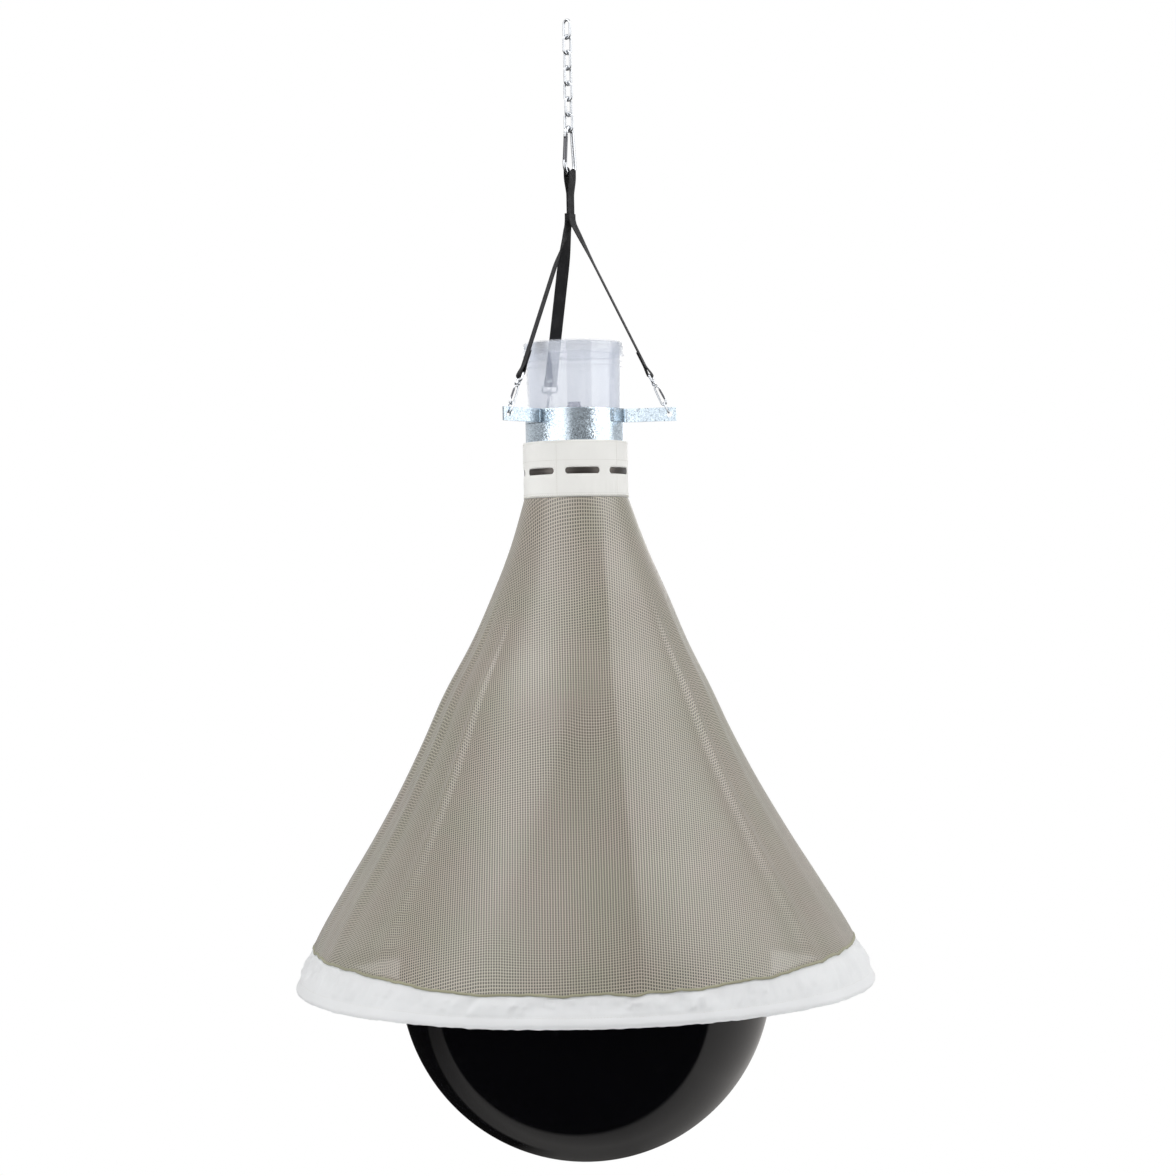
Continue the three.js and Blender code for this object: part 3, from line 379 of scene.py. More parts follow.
def cloth_material(name, color, step=0.0012, dark=0.93):
    s = Shader(name, color, 0.85, **{"Sheen Weight": 0.2})
    across, along = weave(s, step, step)
    grain = s.times(across, along)
    broad = s.noise(s.at_object(), 11, 4, 0.55)
    tone = s.shades(broad, 0.3, 0.7, dark, 1)
    s.feed("Base Color", s.mix(s.span(grain, -1, 1, 0, 0.6), tone, shade(color, 0.86)))
    s.feed("Roughness", s.span(broad, 0.3, 0.7, 0.75, 0.95))
    s.bump(grain, 0.5, 0.0003)
    return s.material


def webbing_material():
    """Black polyester webbing with pale dust on it, and chevron ribs along it whose tops are painted lighter and
    grooves darker, a painted highlight and shade.
    """
    s = Shader("webbing", (0.010, 0.010, 0.0115), 0.7, **{"Specular IOR Level": 0.3})
    uv = s.split(s.coordinates["UV"])
    along = s.add(uv["Y"], s.math("PINGPONG", uv["X"], 0.0048))
    ribs = s.times(s.math("SINE", s.times(along, 2 * pi / 0.0017)), 0.5)
    height = s.add(ribs, s.times(s.math("COSINE", s.times(uv["X"], 2 * pi / 0.0021)), 0.5))
    dust = s.noise(s.at_object(), 60, 4, 0.6)
    # Painted highlight and shade: the rib tops are coloured lighter and the grooves between them darker.
    tone = s.shades(height, -0.8, 1, 0.4, 2.2)
    s.feed("Base Color", s.mix(s.span(dust, 0.5, 0.8, 0, 0.5), tone, (0.05, 0.05, 0.052)))
    s.bump(height, 0.6, 0.0004)
    return s.material


def band_material():
    """The clamp's steel band: brushed round, with pressed slots for its worm screw near the housing, which are
    painted near black as a painted shade.
    """
    s = Shader("band", (0.105, 0.095, 0.088), 0.36, 1.0)
    spot = s.split(s.coordinates["Object"])
    turn = s.math("ARCTAN2", spot["Y"], spot["X"])
    slant = s.add(s.times(turn, 76.0), s.times(spot["Z"], 120.0))
    slots = s.math("SINE", s.times(slant, 2.1))
    brushed = s.noise(s.at_object((6, 6, 900)), 1, 3)
    near = s.span(s.math("ABSOLUTE", s.minus(turn, radians(18))), 1.0, 1.15, 1, 0)
    pressed = s.times(s.span(slots, 0.3, 0.7), near)
    # Painted shade: the pressed slots are coloured near black, standing for the dark inside of the slots.
    s.feed("Base Color", s.mix(pressed, s.shades(brushed, 0.3, 0.7, 0.7, 1.3), (0.02, 0.02, 0.02)))
    s.feed("Roughness", s.span(brushed, 0.3, 0.7, 0.28, 0.46))
    s.bump(s.minus(s.times(brushed, 0.2), pressed), 0.4, 0.0006)
    return s.material


def cord_material():
    color = (0.90, 0.88, 0.83)
    s = Shader("cord", color, 0.8)
    inputs = {"Vector": s.at_object((420, 420, 420)), "Scale": 0.5, "Distortion": 3.0}
    twist = s.node("TexWave", inputs).outputs["Fac"]
    tone = s.shades(s.noise(s.at_object(), 120), 0.3, 0.7, 0.85, 1)
    s.feed("Base Color", s.mix(s.span(twist, 0, 1, 0, 0.3), tone, shade(color, 0.7)))
    s.bump(twist, 0.5, 0.0004)
    return s.material


def vinyl_material():
    color = (0.0018, 0.0018, 0.0026)
    s = Shader("vinyl", color, 0.07)
    place = s.at_object()
    dust = s.noise(place, 55, 5, 0.65)
    s.feed("Base Color", s.mix(s.span(dust, 0.62, 0.8, 0, 0.25), color, (0.03, 0.03, 0.03)))
    s.feed("Roughness", s.span(dust, 0.4, 0.8, 0.05, 0.12))
    s.bump(s.noise(place, 5, 2), 0.12, 0.004)
    return s.material


# Meshes. A part is a list of points in millimetres and a list of faces.
def add_piece(name, parts, material, node, uvs=None):
    """One piece from several parts. It rides on the body that the CAD node belongs to."""
    points, faces = [], []
    for more, theirs in parts:
        base = len(points)
        points += more
        faces += [tuple(i + base for i in face) for face in theirs]
    data = bpy.data.meshes.new(name)
    data.from_pydata([tuple(p * MM) for p in points], [], faces)
    data.polygons.foreach_set("use_smooth", [True] * len(data.polygons))
    if uvs:
        layer = data.uv_layers.new(name="UVMap")
        for loop in data.loops:
            layer.data[loop.index].uv = uvs[loop.vertex_index]
    data.materials.append(material)
    data.update()
    piece = add_object(name, data)
    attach(piece, body_of[node])
    return piece


def stand_in(name, parts, material, node, uvs=None, sharp=None):
    """A piece that is shown in the place of its CAD node, with edges sharp above an angle if one is given."""
    piece = add_piece(name, parts, material, node, uvs)
    if sharp:
        sharpen(piece, sharp)
    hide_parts(node)
    return piece


def grid_faces(rows, columns, round_rows=False, round_columns=False):
    """Quads over a grid of points that is stored row by row."""
    faces = []
    for i in range(rows if round_rows else rows - 1):
        for j in range(columns if round_columns else columns - 1):
            below, beside = (i + 1) % rows, (j + 1) % columns
            faces.append((i * columns + j, i * columns + beside, below * columns + beside, below * columns + j))
    return faces


def capped(rows, columns):
    """The quads of a tube over a grid of points, and a face over each of its ends."""
    last = (rows - 1) * columns
    ends = [tuple(range(columns))[::-1], tuple(range(last, last + columns))]
    return grid_faces(rows, columns, False, True) + ends


def moved(part, place):
    points, faces = part
    return [place @ p for p in points], faces


def stood(origin, x, y, z):
    """The matrix that puts a part's own axes on three directions at a point."""
    place = Matrix((x, y, z)).transposed().to_4x4()
    place.translation = origin
    return place


def thicken(piece, thickness, offset=0.0):
    made = piece.modifiers.new("thickness", "SOLIDIFY")
    made.thickness = thickness * MM
    made.offset = offset


def bevel(piece, width, segments=2, angle=35):
    made = piece.modifiers.new("edges", "BEVEL")
    made.width = width * MM
    made.segments = segments
    made.limit_method = "ANGLE"
    made.angle_limit = radians(angle)
    made.harden_normals = True


def sharpen(piece, angle=40):
    """Smooth faces, with sharp edges where they meet at more than the angle."""
    piece.data.polygons.foreach_set("use_smooth", [True] * len(piece.data.polygons))
    piece.data.set_sharp_from_angle(angle=radians(angle))


def turned(profile, sides, closed=True):
    """A turned part from (radius, height) points, which run up its outside and down its inside."""
    points = [
        at(r * cos(a), r * sin(a), h)
        for a in (2 * pi * k / sides for k in range(sides))
        for r, h in profile
    ]
    return points, [face[::-1] for face in grid_faces(sides, len(profile), True, closed)]


def rounded(points, radius, steps=4):
    """A closed profile whose corners are rounded. A point's third number is a radius of its own."""
    out = []
    for i, point in enumerate(points):
        here = Vector(point[:2])
        before, after = Vector(points[i - 1][:2]), Vector(points[(i + 1) % len(points)][:2])
        u, v = before - here, after - here
        r = min(point[2] if len(point) > 2 else radius, u.length * 0.45, v.length * 0.45)
        if r <= 0:
            out.append(tuple(here))
            continue
        a, b = here + u.normalized() * r, here + v.normalized() * r
        if u.length > 4 * r:
            out.append(tuple(here + u.normalized() * (1.3 * r)))
        for k in range(steps + 1):
            t = k / steps
            out.append(tuple(a * (1 - t) ** 2 + here * 2 * t * (1 - t) + b * t * t))
        if v.length > 4 * r:
            out.append(tuple(here + v.normalized() * (1.3 * r)))
    return out


def spline(points, steps):
    """A Catmull-Rom curve through the points, with steps spans between each two."""
    ends = [points[0] * 2 - points[1], *points, points[-1] * 2 - points[-2]]
    out = []
    for i in range(1, len(ends) - 2):
        a, b, c, d = ends[i - 1 : i + 3]
        for k in range(steps):
            t = k / steps
            bend = (a * 2 - b * 5 + c * 4 - d) * t**2 + (b * 3 - a - c * 3 + d) * t**3
            out.append((b * 2 + (c - a) * t + bend) / 2)
    return [*out, points[-1].copy()]


def arc(centre, radius, first, second, start, end, steps):
    """Points on an arc in the plane of two directions, in degrees."""
    turns = (radians(lerp(start, end, k / steps)) for k in range(steps + 1))
    return [centre + first * (radius * cos(a)) + second * (radius * sin(a)) for a in turns]


def tube(path, radius, sides, closed=False, start=None):
    """A round tube along a path, on a frame that doesn't twist. radius may be a function of the share."""
    count = len(path)
    side = start or at(0, 1, 0)
    points = []
    for i, here in enumerate(path):
        before = path[i - 1] if closed or i else path[0]
        after = path[(i + 1) % count] if closed or i + 1 < count else path[-1]
        along = (after - before).normalized()
        side = (side - along * side.dot(along)).normalized()
        up = along.cross(side)
        r = radius(i / max(count - 1, 1)) if callable(radius) else radius
        turns = (2 * pi * k / sides for k in range(sides))
        points += [here + (side * cos(a) + up * sin(a)) * r for a in turns]
    return points, grid_faces(count, sides, True, True) if closed else capped(count, sides)


# Chain, carabiner and snaps
def oval(wire, length, width, steps=18, sides=16, weld=0.0):
    """An oval link in the XZ plane about the origin. weld is the height of its seam on one side."""
    radius, half = (width + wire) / 2, (length - width) / 2
    path = arc(Z * half, radius, X, Z, 0, 180, steps)
    path += [at(-radius, 0, half * (1 - k / 4)) for k in range(1, 8)]
    path += arc(Z * -half, radius, X, Z, 180, 360, steps)
    path += [at(radius, 0, half * (k / 4 - 1)) for k in range(1, 8)]
    middle = (steps + 4) / (len(path) - 1)
    swell = lambda share: wire / 2 + weld * peak(share - middle, 0.012)
    return tube(path, swell, sides, True)


def snap_body(wire, top_radius, foot_radius, length, tongue, nose_rise, overlap, sides=16):
    """The bent wire of a pear-shaped snap in the XZ plane, its upper bearing point at the origin.

    It has a rounded tongue at its hinge and a flat one at its nose.
    """
    drop = length - wire - top_radius - foot_radius
    lean = asin((foot_radius - top_radius) / drop)
    top = Z * (wire / 2 - top_radius)
    foot = top - Z * drop
    out = at(-cos(lean), 0, sin(lean))
    gate_top, gate_foot = top + out * top_radius, foot + out * foot_radius
    upward = (gate_top - gate_foot).normalized()
    tilt = degrees(lean)
    crown = arc(top, top_radius, X, Z, 180 - tilt, tilt, 18)
    bend = arc(foot, foot_radius, X, Z, tilt, -180 - tilt, 30)
    hinge, nose = gate_top - upward * 1.2 * tongue, gate_foot + upward * nose_rise
    full, flat = wire / 2, 0.2 * wire
    cap = [-0.999, -0.92, -0.78, -0.55, -0.28]
    stations = [(hinge + upward * full * s, full * sqrt(1 - s * s), flat) for s in cap]
    stations += [(hinge + upward * (tongue * s), full, flat) for s in (0, 0.5, 1)]
    stations += [(hinge + upward * (tongue + 0.05), full, full)]
    straight = [lerp(crown[-1], bend[0], k / 6) for k in range(1, 6)]
    stations += [(p, full, full) for p in [*crown, *straight, *bend]]
    end = nose - upward * (overlap + 0.3)
    stations += [(end - upward * 0.05, full, full), (end, full, flat), (nose, full, flat)]
    points = []
    for i, (here, radius, limit) in enumerate(stations):
        before, after = stations[max(i - 1, 0)][0], stations[min(i + 1, len(stations) - 1)][0]
        side = Y.cross(after - before).normalized()
        for k in range(sides):
            a = 2 * pi * (k + 0.5) / sides
            y = min(max(radius * sin(a), -limit), limit)
            points.append(here + side * (radius * cos(a)) + Y * y)
    return points, capped(len(stations), sides)


def add_chain(zinc):
    pitch = CHAIN_LENGTH - SEAT
    for i, turn in enumerate(CHAIN_TURNS):
        link = oval(CHAIN_WIRE, CHAIN_LENGTH, CHAIN_WIDTH, weld=0.22)
        place = shift(Z * (-CHAIN_LENGTH / 2 - i * pitch)) @ spin(turn)
        node = f"chain_link_{i + 1}"
        stand_in(f"{node}_bent", [moved(link, place)], zinc, node)


def add_carabiner(zinc):
    turn = spin(CARABINER_TURN)
    place = shift(Z * CARABINER_TOP) @ turn
    body = snap_body(CARABINER_WIRE, **CARABINER, sides=20)
    stand_in("carabiner_wire", [moved(body, place)], zinc, "carabiner_body", sharp=40)


# Harness
def webbing_part(points, across, lift=None, columns=10):
    """Webbing along a row of points, with its UVs: metres across and metres along."""
    t = WEB_THICK / 2
    edge = WEB_WIDTH / 2
    outline = [(lerp(0.5 - edge, edge - 0.5, k / columns), t) for k in range(columns + 1)]
    outline += [(edge - 0.12, 0.55 * t), (edge, 0), (edge - 0.12, -0.55 * t)]
    outline += [(-x, -z) for x, z in outline]
    out, uvs, run = [], [], 0
    for i, here in enumerate(points):
        before, after = points[max(i - 1, 0)], points[min(i + 1, len(points) - 1)]
        along = (after - before).normalized()
        width = across(here)
        width = (width - along * width.dot(along)).normalized()
        normal = along.cross(width)
        run += (here - before).length
        for x, z in outline:
            point = here + width * x + normal * z
            out.append(point + Z * lift(here, x) if lift else point)
            uvs.append((x * MM, run * MM))
    faces = [face[::-1] for face in capped(len(points), len(outline))]
    return (out, faces), uvs


def leg_line(angle, turn, stack):
    """A leg's frame: its upper end, the hole in its arm, the way up, its width and its outer side."""
    start = Z * (JUNCTION - LOOP_TAIL) + bearing(CARABINER_TURN + 90) * ((WEB_THICK + SEAT) * stack)
    hole = polar(angle, ARM_REACH, ARM_HOLE)
    upward = (start - hole).normalized()
    across = bearing(angle + 90 + turn)
    across = (across - upward * across.dot(upward)).normalized()
    return start, hole, upward, across, across.cross(upward)


def stitch_box(centre, across, along, out, width, length):
    """A box with a cross in it, sewn in short stitches on a face of webbing."""
    corners = [(x * width / 2, y * length / 2) for x, y in ((-1, -1), (1, -1), (1, 1), (-1, 1))]
    lines = [(corners[i], corners[k]) for i, k in ((0, 1), (1, 2), (2, 3), (3, 0), (0, 2), (1, 3))]
    parts = []
    for (x0, y0), (x1, y1) in lines:
        count = max(int(hypot(x1 - x0, y1 - y0) / 3), 2)
        for k in range(count):
            ends = [(k + 0.14) / count, (k + 0.5) / count, (k + 0.86) / count]
            path = [
                centre + across * lerp(x0, x1, s) + along * lerp(y0, y1, s) + out * (0.12 if i == 1 else -0.1)
                for i, s in enumerate(ends)
            ]
            parts.append(tube(path, WEB_THREAD, 6, start=out))
    return parts


def add_harness(webbing, thread):
    up_across = bearing(CARABINER_TURN)
    out = bearing(CARABINER_TURN + 90)
    layer = (WEB_THICK + SEAT) / 2
    bend = (CARABINER_WIRE + WEB_THICK) / 2 + SEAT + 0.35
    drops = [LOOP_DROP + LOOP_TAIL - k * 2 for k in range(35)]
    spread = lambda d: lerp(bend, layer, smooth((d - 10) / (2.2 * LOOP_SHOULDER - 10)))
    side = lambda sign: [Z * (CARABINER_BEARING - d) + out * (sign * spread(d)) for d in drops]
    crown = Z * (CARABINER_BEARING - CARABINER_WIRE / 2)
    points = [*side(-1), *arc(crown, bend, out, Z, 180, 0, 20), *side(1)[::-1]]

    def lift(here, x):
        drop = CARABINER_BEARING - here.z
        cup = 1 - smooth((drop - CARABINER_WIRE) / (2 * LOOP_SHOULDER - CARABINER_WIRE))
        return cup * (LOOP_CUP - sqrt(LOOP_CUP**2 - x * x))

    part, uvs = webbing_part(points, lambda here: up_across, lift)
    stand_in("harness_loop_web", [part], webbing, "harness_loop", uvs)
    stacked = []
    for sign, depth in ((-1, 1.5), (1, 2.5)):
        face = Z * (JUNCTION - 3.5) + out * (sign * (depth * (WEB_THICK + SEAT) + WEB_THICK / 2))
        stacked += stitch_box(face, up_across, Z, out * sign, 14, 9)
    add_piece("harness_stitches", stacked, thread, "harness_loop")

    for name, *leg in ARMS:
        start, hole, upward, across, outer = leg_line(*leg)
        on = lambda distance, offset=0: hole + upward * distance + outer * offset
        length = (start - hole).length
        bend = EYE_BAR / 2 + SEAT + WEB_THICK / 2 + 0.3
        layer = WEB_THICK + SEAT
        flare = EYE_BAR_AT + LEG_FLARE
        top, middle = length - LEG_SEWN_TOP / 3, start + Z * (LEG_SEWN_TOP / 3)
        points = [start + Z * LEG_SEWN_TOP, start + Z * (LEG_SEWN_TOP * 0.66), middle]
        points += [on(lerp(top, flare, k / 60)) for k in range(61)]
        points += [on(EYE_BAR_AT + LEG_FLARE * (1 - k / 12), bend * smooth(k / 12)) for k in range(1, 12)]
        points += arc(on(EYE_BAR_AT), bend, outer, upward, 0, -180, 18)
        points += [on(EYE_BAR_AT + LEG_FLARE * k / 12, -lerp(bend, layer, smooth(k / 12))) for k in range(1, 13)]
        points += [on(lerp(flare, EYE_BAR_AT + LEG_SEWN_END, k / 8), -layer) for k in range(1, 9)]
        first = up_across * copysign(1, up_across.dot(across))
        turn = lambda here: first.lerp(across, smooth((start.z - here.z) / LEG_TWIST)).normalized()
        part, uvs = webbing_part(points, turn)
        node = f"harness_strap_{name}"
        stand_in(f"{node}_web", [part], webbing, node, uvs)
        middle = EYE_BAR_AT + (LEG_FLARE + LEG_SEWN_END) / 2 + 3
        parts = []
        for sign, depth in ((1, WEB_THICK / 2), (-1, layer + WEB_THICK / 2)):
            parts += stitch_box(on(middle, sign * depth), across, upward, outer * sign, 14, 16)
        add_piece(f"{node}_stitches", parts, thread, node)


def add_leg_hardware(zinc):
    for name, *leg in ARMS:
        _, hole, upward, across, outer = leg_line(*leg)
        group = stood(hole, outer, across, upward)
        level = group @ spin(-leg[1])
        link = oval(ARM_LINK_WIRE, ARM_LINK_LENGTH, ARM_LINK_WIDTH, weld=0.15)
        place = level @ shift(Z * LINK_CENTRE) @ spin(90)
        stand_in(f"arm_link_{name}_bent", [moved(link, place)], zinc, f"arm_link_{name}")
        wire = snap_body(SNAP_WIRE, **SNAP)
        post_line = [(1.6, 1.5), (1.6, 9.1), (3, 9.1, 0.3), (3, 11.6, 0.8), (0, 11.6, 0), (0, 1.5, 0)]
        post = turned(rounded(post_line, 0.2), 24)
        hook = level @ shift(Z * SNAP_AT) @ spin(170)
        parts = [moved(wire, hook), moved(post, hook)]
        stand_in(f"snap_wire_{name}", parts, zinc, f"snap_body_{name}", sharp=40)
        half, low, high, corner = WEB_WIDTH / 2 + 2.2, -EYE_BAR / 2, 9.5 + EYE_BAR / 2, 3
        frame_line = []
        for y, z, first in ((half, high, 0), (-half, high, 90), (-half, low, 180), (half, low, 270)):
            centre = at(0, y - copysign(corner, y), z - (corner if z > 0 else -corner))
            frame_line += arc(centre, corner, Y, Z, first, first + 90, 6)
        bar = tube(frame_line, EYE_BAR / 2, 14, True, X)
        boss = turned(rounded([(3.6, -5.5), (3.6, 0), (1.9, 0), (1.9, -5.5)], 0.7), 32)
        parts = [moved(part, group @ shift(Z * EYE_WINDOW)) for part in (bar, boss)]
        stand_in(f"strap_eye_{name}_cast", parts, zinc, f"strap_eye_{name}", sharp=40)


# Ring, jar and lid
def add_ring(galvanised):
    middle, wall = SEAT_BASE - SEAT - 3, 1.5
    half = [(0, 3.4), (-0.5, 2.5), (-1.7, 1.4)]
    bead = [(r, middle + h) for r, h in (*half, (-2.2, 0), *((r, -h) for r, h in half[::-1]))]
    out = [(RING_RADIUS + r, h) for r, h in bead]
    inner = [(RING_RADIUS - wall + r, h) for r, h in bead]
    low, high = RING_BASE, RING_TOP
    steps = ((0, 0.5), (0.25, 0.12), (0.75, 0), (1.25, 0.12), (1.5, 0.5))
    edge = lambda r, h, s: [(r - inward, h - down * s) for inward, down in steps]
    # Rows close to each bend keep the long plain faces flat under smooth shading
    above, below = (middle + 4.4, high - 1.5), (middle - 4.4, low + 1.5)
    hold = lambda r, heights: [(r, h) for h in heights]
    profile = [*out[::-1], *hold(RING_RADIUS, above), *edge(RING_RADIUS, high, 1)]
    profile += [*hold(RING_RADIUS - wall, above[::-1]), *inner, *hold(RING_RADIUS - wall, below)]
    profile += [*edge(RING_RADIUS, low, -1)[::-1], *hold(RING_RADIUS, below[::-1])]
    stand_in("ring_sheet", [turned(profile, SIDES)], galvanised, "ring_band")


def add_welds(galvanised):
    """Weld beads along the two upright edges of each arm's foot."""
    for name, angle, *_ in ARMS:
        parts = []
        for turn, reach in ((-30.6, RING_RADIUS + 0.9), (-1.2, RING_RADIUS + 0.7)):
            spot, half = bearing(angle + turn) * reach, 8.4
            path = [spot + Z * (ARM_HOLE + lerp(-half, half, k / 40)) for k in range(41)]
            swell = lambda s: 1.25 + 0.35 * sin(s * 52) * sin(s * pi)
            parts.append(tube(path, swell, 10, start=bearing(angle + turn)))
        add_piece(f"arm_{name}_welds", parts, galvanised, f"arm_{name}")


def jar_radius(height):
    return lerp(JAR_BASE_R, JAR_TOP_R, (height - JAR_BASE) / JAR_HEIGHT)


def add_jar(clear_plastic, lid_plastic, funnel_plastic):
    top = JAR_BASE + JAR_HEIGHT
    heights = [JAR_BASE + k * (JAR_HEIGHT - 42) / 12 for k in range(1, 13)]
    wall = [(jar_radius(h), h) for h in heights]
    for middle in (top - 34, top - 26):
        for k in range(-5, 6):
            h = middle + k * 0.3
            wall.append((jar_radius(h) + 0.9 * cos(k * pi / 10) ** 2, h))
    rim = JAR_TOP_R + 2
    lip = [(jar_radius(top - 6), top - 6), (rim, top - 4.4, 0.8), (rim, top, 1.2), (JAR_TOP_R - JAR_WALL, top, 1)]
    outer = [(JAR_BASE_R, JAR_BASE, 0.8), *[(r, h, 0) for r, h in wall], *lip]
    inner = [(jar_radius(h) - JAR_WALL, h, 0) for h in heights[::-1]]
    profile = rounded([*outer, *inner, (JAR_BASE_R - JAR_WALL, JAR_BASE, 0.5)], 0.6, 3)
    stand_in("jar_wall", [turned(profile, SIDES)], clear_plastic, "jar")

    high, skirt = LID_TOP, LID_TOP - 19
    inside, outside = JAR_TOP_R + 2.3, JAR_TOP_R + 4.1
    profile = rounded(
        [(0, high - 1.8, 0), (inside, high - 1.8, 0.5), (inside, skirt, 0.5), (outside, skirt, 0.5)]
        + [(outside, high - 6, 0.4), (outside - 0.5, high - 5.5, 0.4), (outside - 0.5, high, 2.6)]
        + [(62, high, 0.6), (60.5, high - 0.7, 0.6), (0, high - 0.7, 0)],
        0.4,
    )
    stand_in("lid_cap", [turned(profile, SIDES, False)], lid_plastic, "lid")

    flange = JAR_BASE_R - JAR_WALL - SEAT
    base, mouth = 0.955 * flange, JAR_BASE + 107
    slope = lambda t, wall: (lerp(base, 9, t) - wall, lerp(JAR_BASE + 2, mouth, t), 0)
    outer = [(flange, JAR_BASE, 0.3), (flange, JAR_BASE + 2, 0.6), (base, JAR_BASE + 2, 0.8)]
    outer += [slope(k / 10, 0) for k in range(1, 10)]
    outer += [(9, mouth - 3, 0.5), (9.8, mouth - 2, 0.5), (9.8, mouth, 0.5)]
    inner = [(7.5, mouth, 0.4), *(slope(k / 10, 1.5) for k in range(9, 0, -1)), (base - 1.5, JAR_BASE, 0.5)]
    profile = rounded([*outer, *inner], 0.4, 3)
    stand_in("funnel_cone", [turned(profile, 112)], funnel_plastic, "inner_funnel")


# Collar and clamp
def slot_distance(angle, height):
    """How far a point of the collar's facing is from the edge of the nearest hole: below 0 inside."""
    period = 360 / SLOTS
    place = (angle - SLOT_CENTRE + period / 2) % period - period / 2
    half = radians(SLOT_SHARE * period / 2) * COLLAR_OUT - CLAMP_SLOT / 2
    along = max(abs(radians(place)) * COLLAR_OUT - half, 0)
    up = height - CLAMP_HEIGHT
    slot = hypot(along, up) - CLAMP_SLOT / 2
    side = wrap(angle - HOUSING_TURN)
    x, y = abs(radians(side)) * COLLAR_OUT - WINDOW_HALF, abs(up) - WINDOW_RISE
    window = hypot(max(x, 0), max(y, 0)) + min(max(x, y), 0) - WINDOW_CORNER
    return min(slot, window)


def add_collar(cloth, thread):
    """A sewn tube: a lining, a hemmed top, and a facing with slots that show the clamp's band."""
    columns, near = 420, 0.72
    rows = [COLLAR_TOP - k * 2.9 for k in range(13)]
    rows += [CLAMP_HEIGHT + 6.5 - k for k in range(14)]
    rows += [lerp(CLAMP_HEIGHT - 8, COLLAR_BASE, k / 11) for k in range(12)]
    facing, lining = COLLAR_OUT - 0.35, COLLAR_IN + 0.7

    def ripple(angle, height):
        share = (COLLAR_TOP - height) / (COLLAR_TOP - COLLAR_BASE)
        a = radians(angle)
        soft = round_noise(3, a, height / 26)
        pulled = round_noise(11, a, height / 60 + 5)
        return -0.28 - 0.3 * soft - 0.35 * pulled * smooth(abs(share - 0.5) * 2)

    def seam(angle):
        return max(peak(wrap(angle - s), 0.9) for s in SEAMS)

    points, uvs, gaps = [], [], []
    for height in rows:
        for k in range(columns):
            angle = 360 * k / columns
            z = height
            gap = slot_distance(angle, z)
            if abs(gap) < near:
                # A point this near a hole's edge is moved onto it, down the slope of the distance
                step = 0.05
                slope_a = (slot_distance(angle + step, z) - slot_distance(angle - step, z)) / (2 * step)
                slope_z = (slot_distance(angle, z + step) - slot_distance(angle, z - step)) / (2 * step)
                slope_a /= radians(1) * COLLAR_OUT
                size = slope_a**2 + slope_z**2
                if size > 0.2:
                    angle -= degrees(gap * slope_a / size / COLLAR_OUT)
                    z -= gap * slope_z / size
            gaps.append(slot_distance(angle, z))
            r = facing + ripple(angle, z) + 0.3 * seam(angle)
            r -= 0.45 * peak(max(gaps[-1], 0), 1.6)
            points.append(polar(angle, r, z))
            uvs.append((radians(angle) * COLLAR_OUT * MM, z * MM))
    faces = []
    for face in grid_faces(len(rows), columns, False, True):
        if sum(gaps[i] for i in face) > -0.3:
            faces.append(face[::-1])
    base = len(points)
    inner = [(facing - 0.5, COLLAR_TOP), ((facing + lining) / 2, COLLAR_TOP + 0.25), (lining, COLLAR_TOP - 0.4)]
    inner += [(lining, lerp(COLLAR_TOP - 1, COLLAR_BASE, k / 10)) for k in range(11)]
    for r, z in inner:
        for k in range(columns):
            points.append(polar(360 * k / columns, r, z))
            uvs.append((2 * pi * k / columns * COLLAR_OUT * MM, (2 * COLLAR_TOP - z) * MM))
    faces += [(k, (k + 1) % columns, base + (k + 1) % columns, base + k) for k in range(columns)]
    faces += [tuple(i + base for i in face) for face in grid_faces(len(inner), columns, False, True)]
    collar = stand_in("collar_cloth", [(points, faces)], cloth, "collar", uvs)
    thicken(collar, 0.5, 0)

    parts = []
    for z in (COLLAR_TOP - 2.6, COLLAR_TOP - 28.5, COLLAR_BASE + 5.5):
        for k in range(170):
            centre = 360 * k / 170
            path = [
                polar(centre + s, facing + ripple(centre, z) + lift, z)
                for s, lift in ((-0.72, 0.1), (-0.4, 0.5), (0, 0.6), (0.4, 0.5), (0.72, 0.1))
            ]
            parts.append(tube(path, COLLAR_THREAD, 6, start=Z))
    for angle in SEAMS:
        for k in range(27):
            z = COLLAR_TOP - 2 - k * 2.95
            turn = angle + 1.6
            if slot_distance(turn, z) < 2:
                continue
            path = [
                polar(turn, facing + ripple(turn, z) + lift, z - d)
                for d, lift in ((-1.1, 0.1), (-0.6, 0.5), (0.6, 0.5), (1.1, 0.1))
            ]
            parts.append(tube(path, COLLAR_THREAD, 6, start=bearing(turn + 90)))
    stitches = add_piece("collar_stitches", parts, thread, "collar")
    wave = []
    for k in range(1080):
        low = (0, 1, 2.2, 3.2, 3.4, 2.6, 1.6, 0.6)[k % 8]
        r = COLLAR_OUT - 0.15 + 0.25 * noise.noise(at(k / 9, 3, 0))
        wave.append(polar(360 * k / 1080, r, COLLAR_BASE + 0.3 + low * 0.75))
    wound = tube(wave, OVERLOCK_THREAD, 6, True, Z)
    overlock = add_piece("collar_overlock", [wound], thread, "collar")


def add_clamp(band_steel):
    profile = rounded([(75.5, -4.5), (75.5, 4.5), (76.2, 4.5), (76.2, -4.5)][::-1], 0.2, 2)
    band = moved(turned(profile, 160), shift(Z * CLAMP_HEIGHT))
    stand_in("clamp_strip", [band], band_steel, "clamp_band")


# Mesh cone and hem
def flare(share):
    """The cone's width as a share of its spread, smooth through the source's values."""
    place = min(max(share, 0), 1) * (len(FLARE) - 1)
    i = min(int(place), len(FLARE) - 2)
    row = (2 * FLARE[0] - FLARE[1], *FLARE, 2 * FLARE[-1] - FLARE[-2])
    a, b, c, d = row[i : i + 4]
    t = place - i
    return (2 * b + (c - a) * t + (2 * a - 5 * b + 4 * c - d) * t * t + (3 * b - a - 3 * c + d) * t**3) / 2


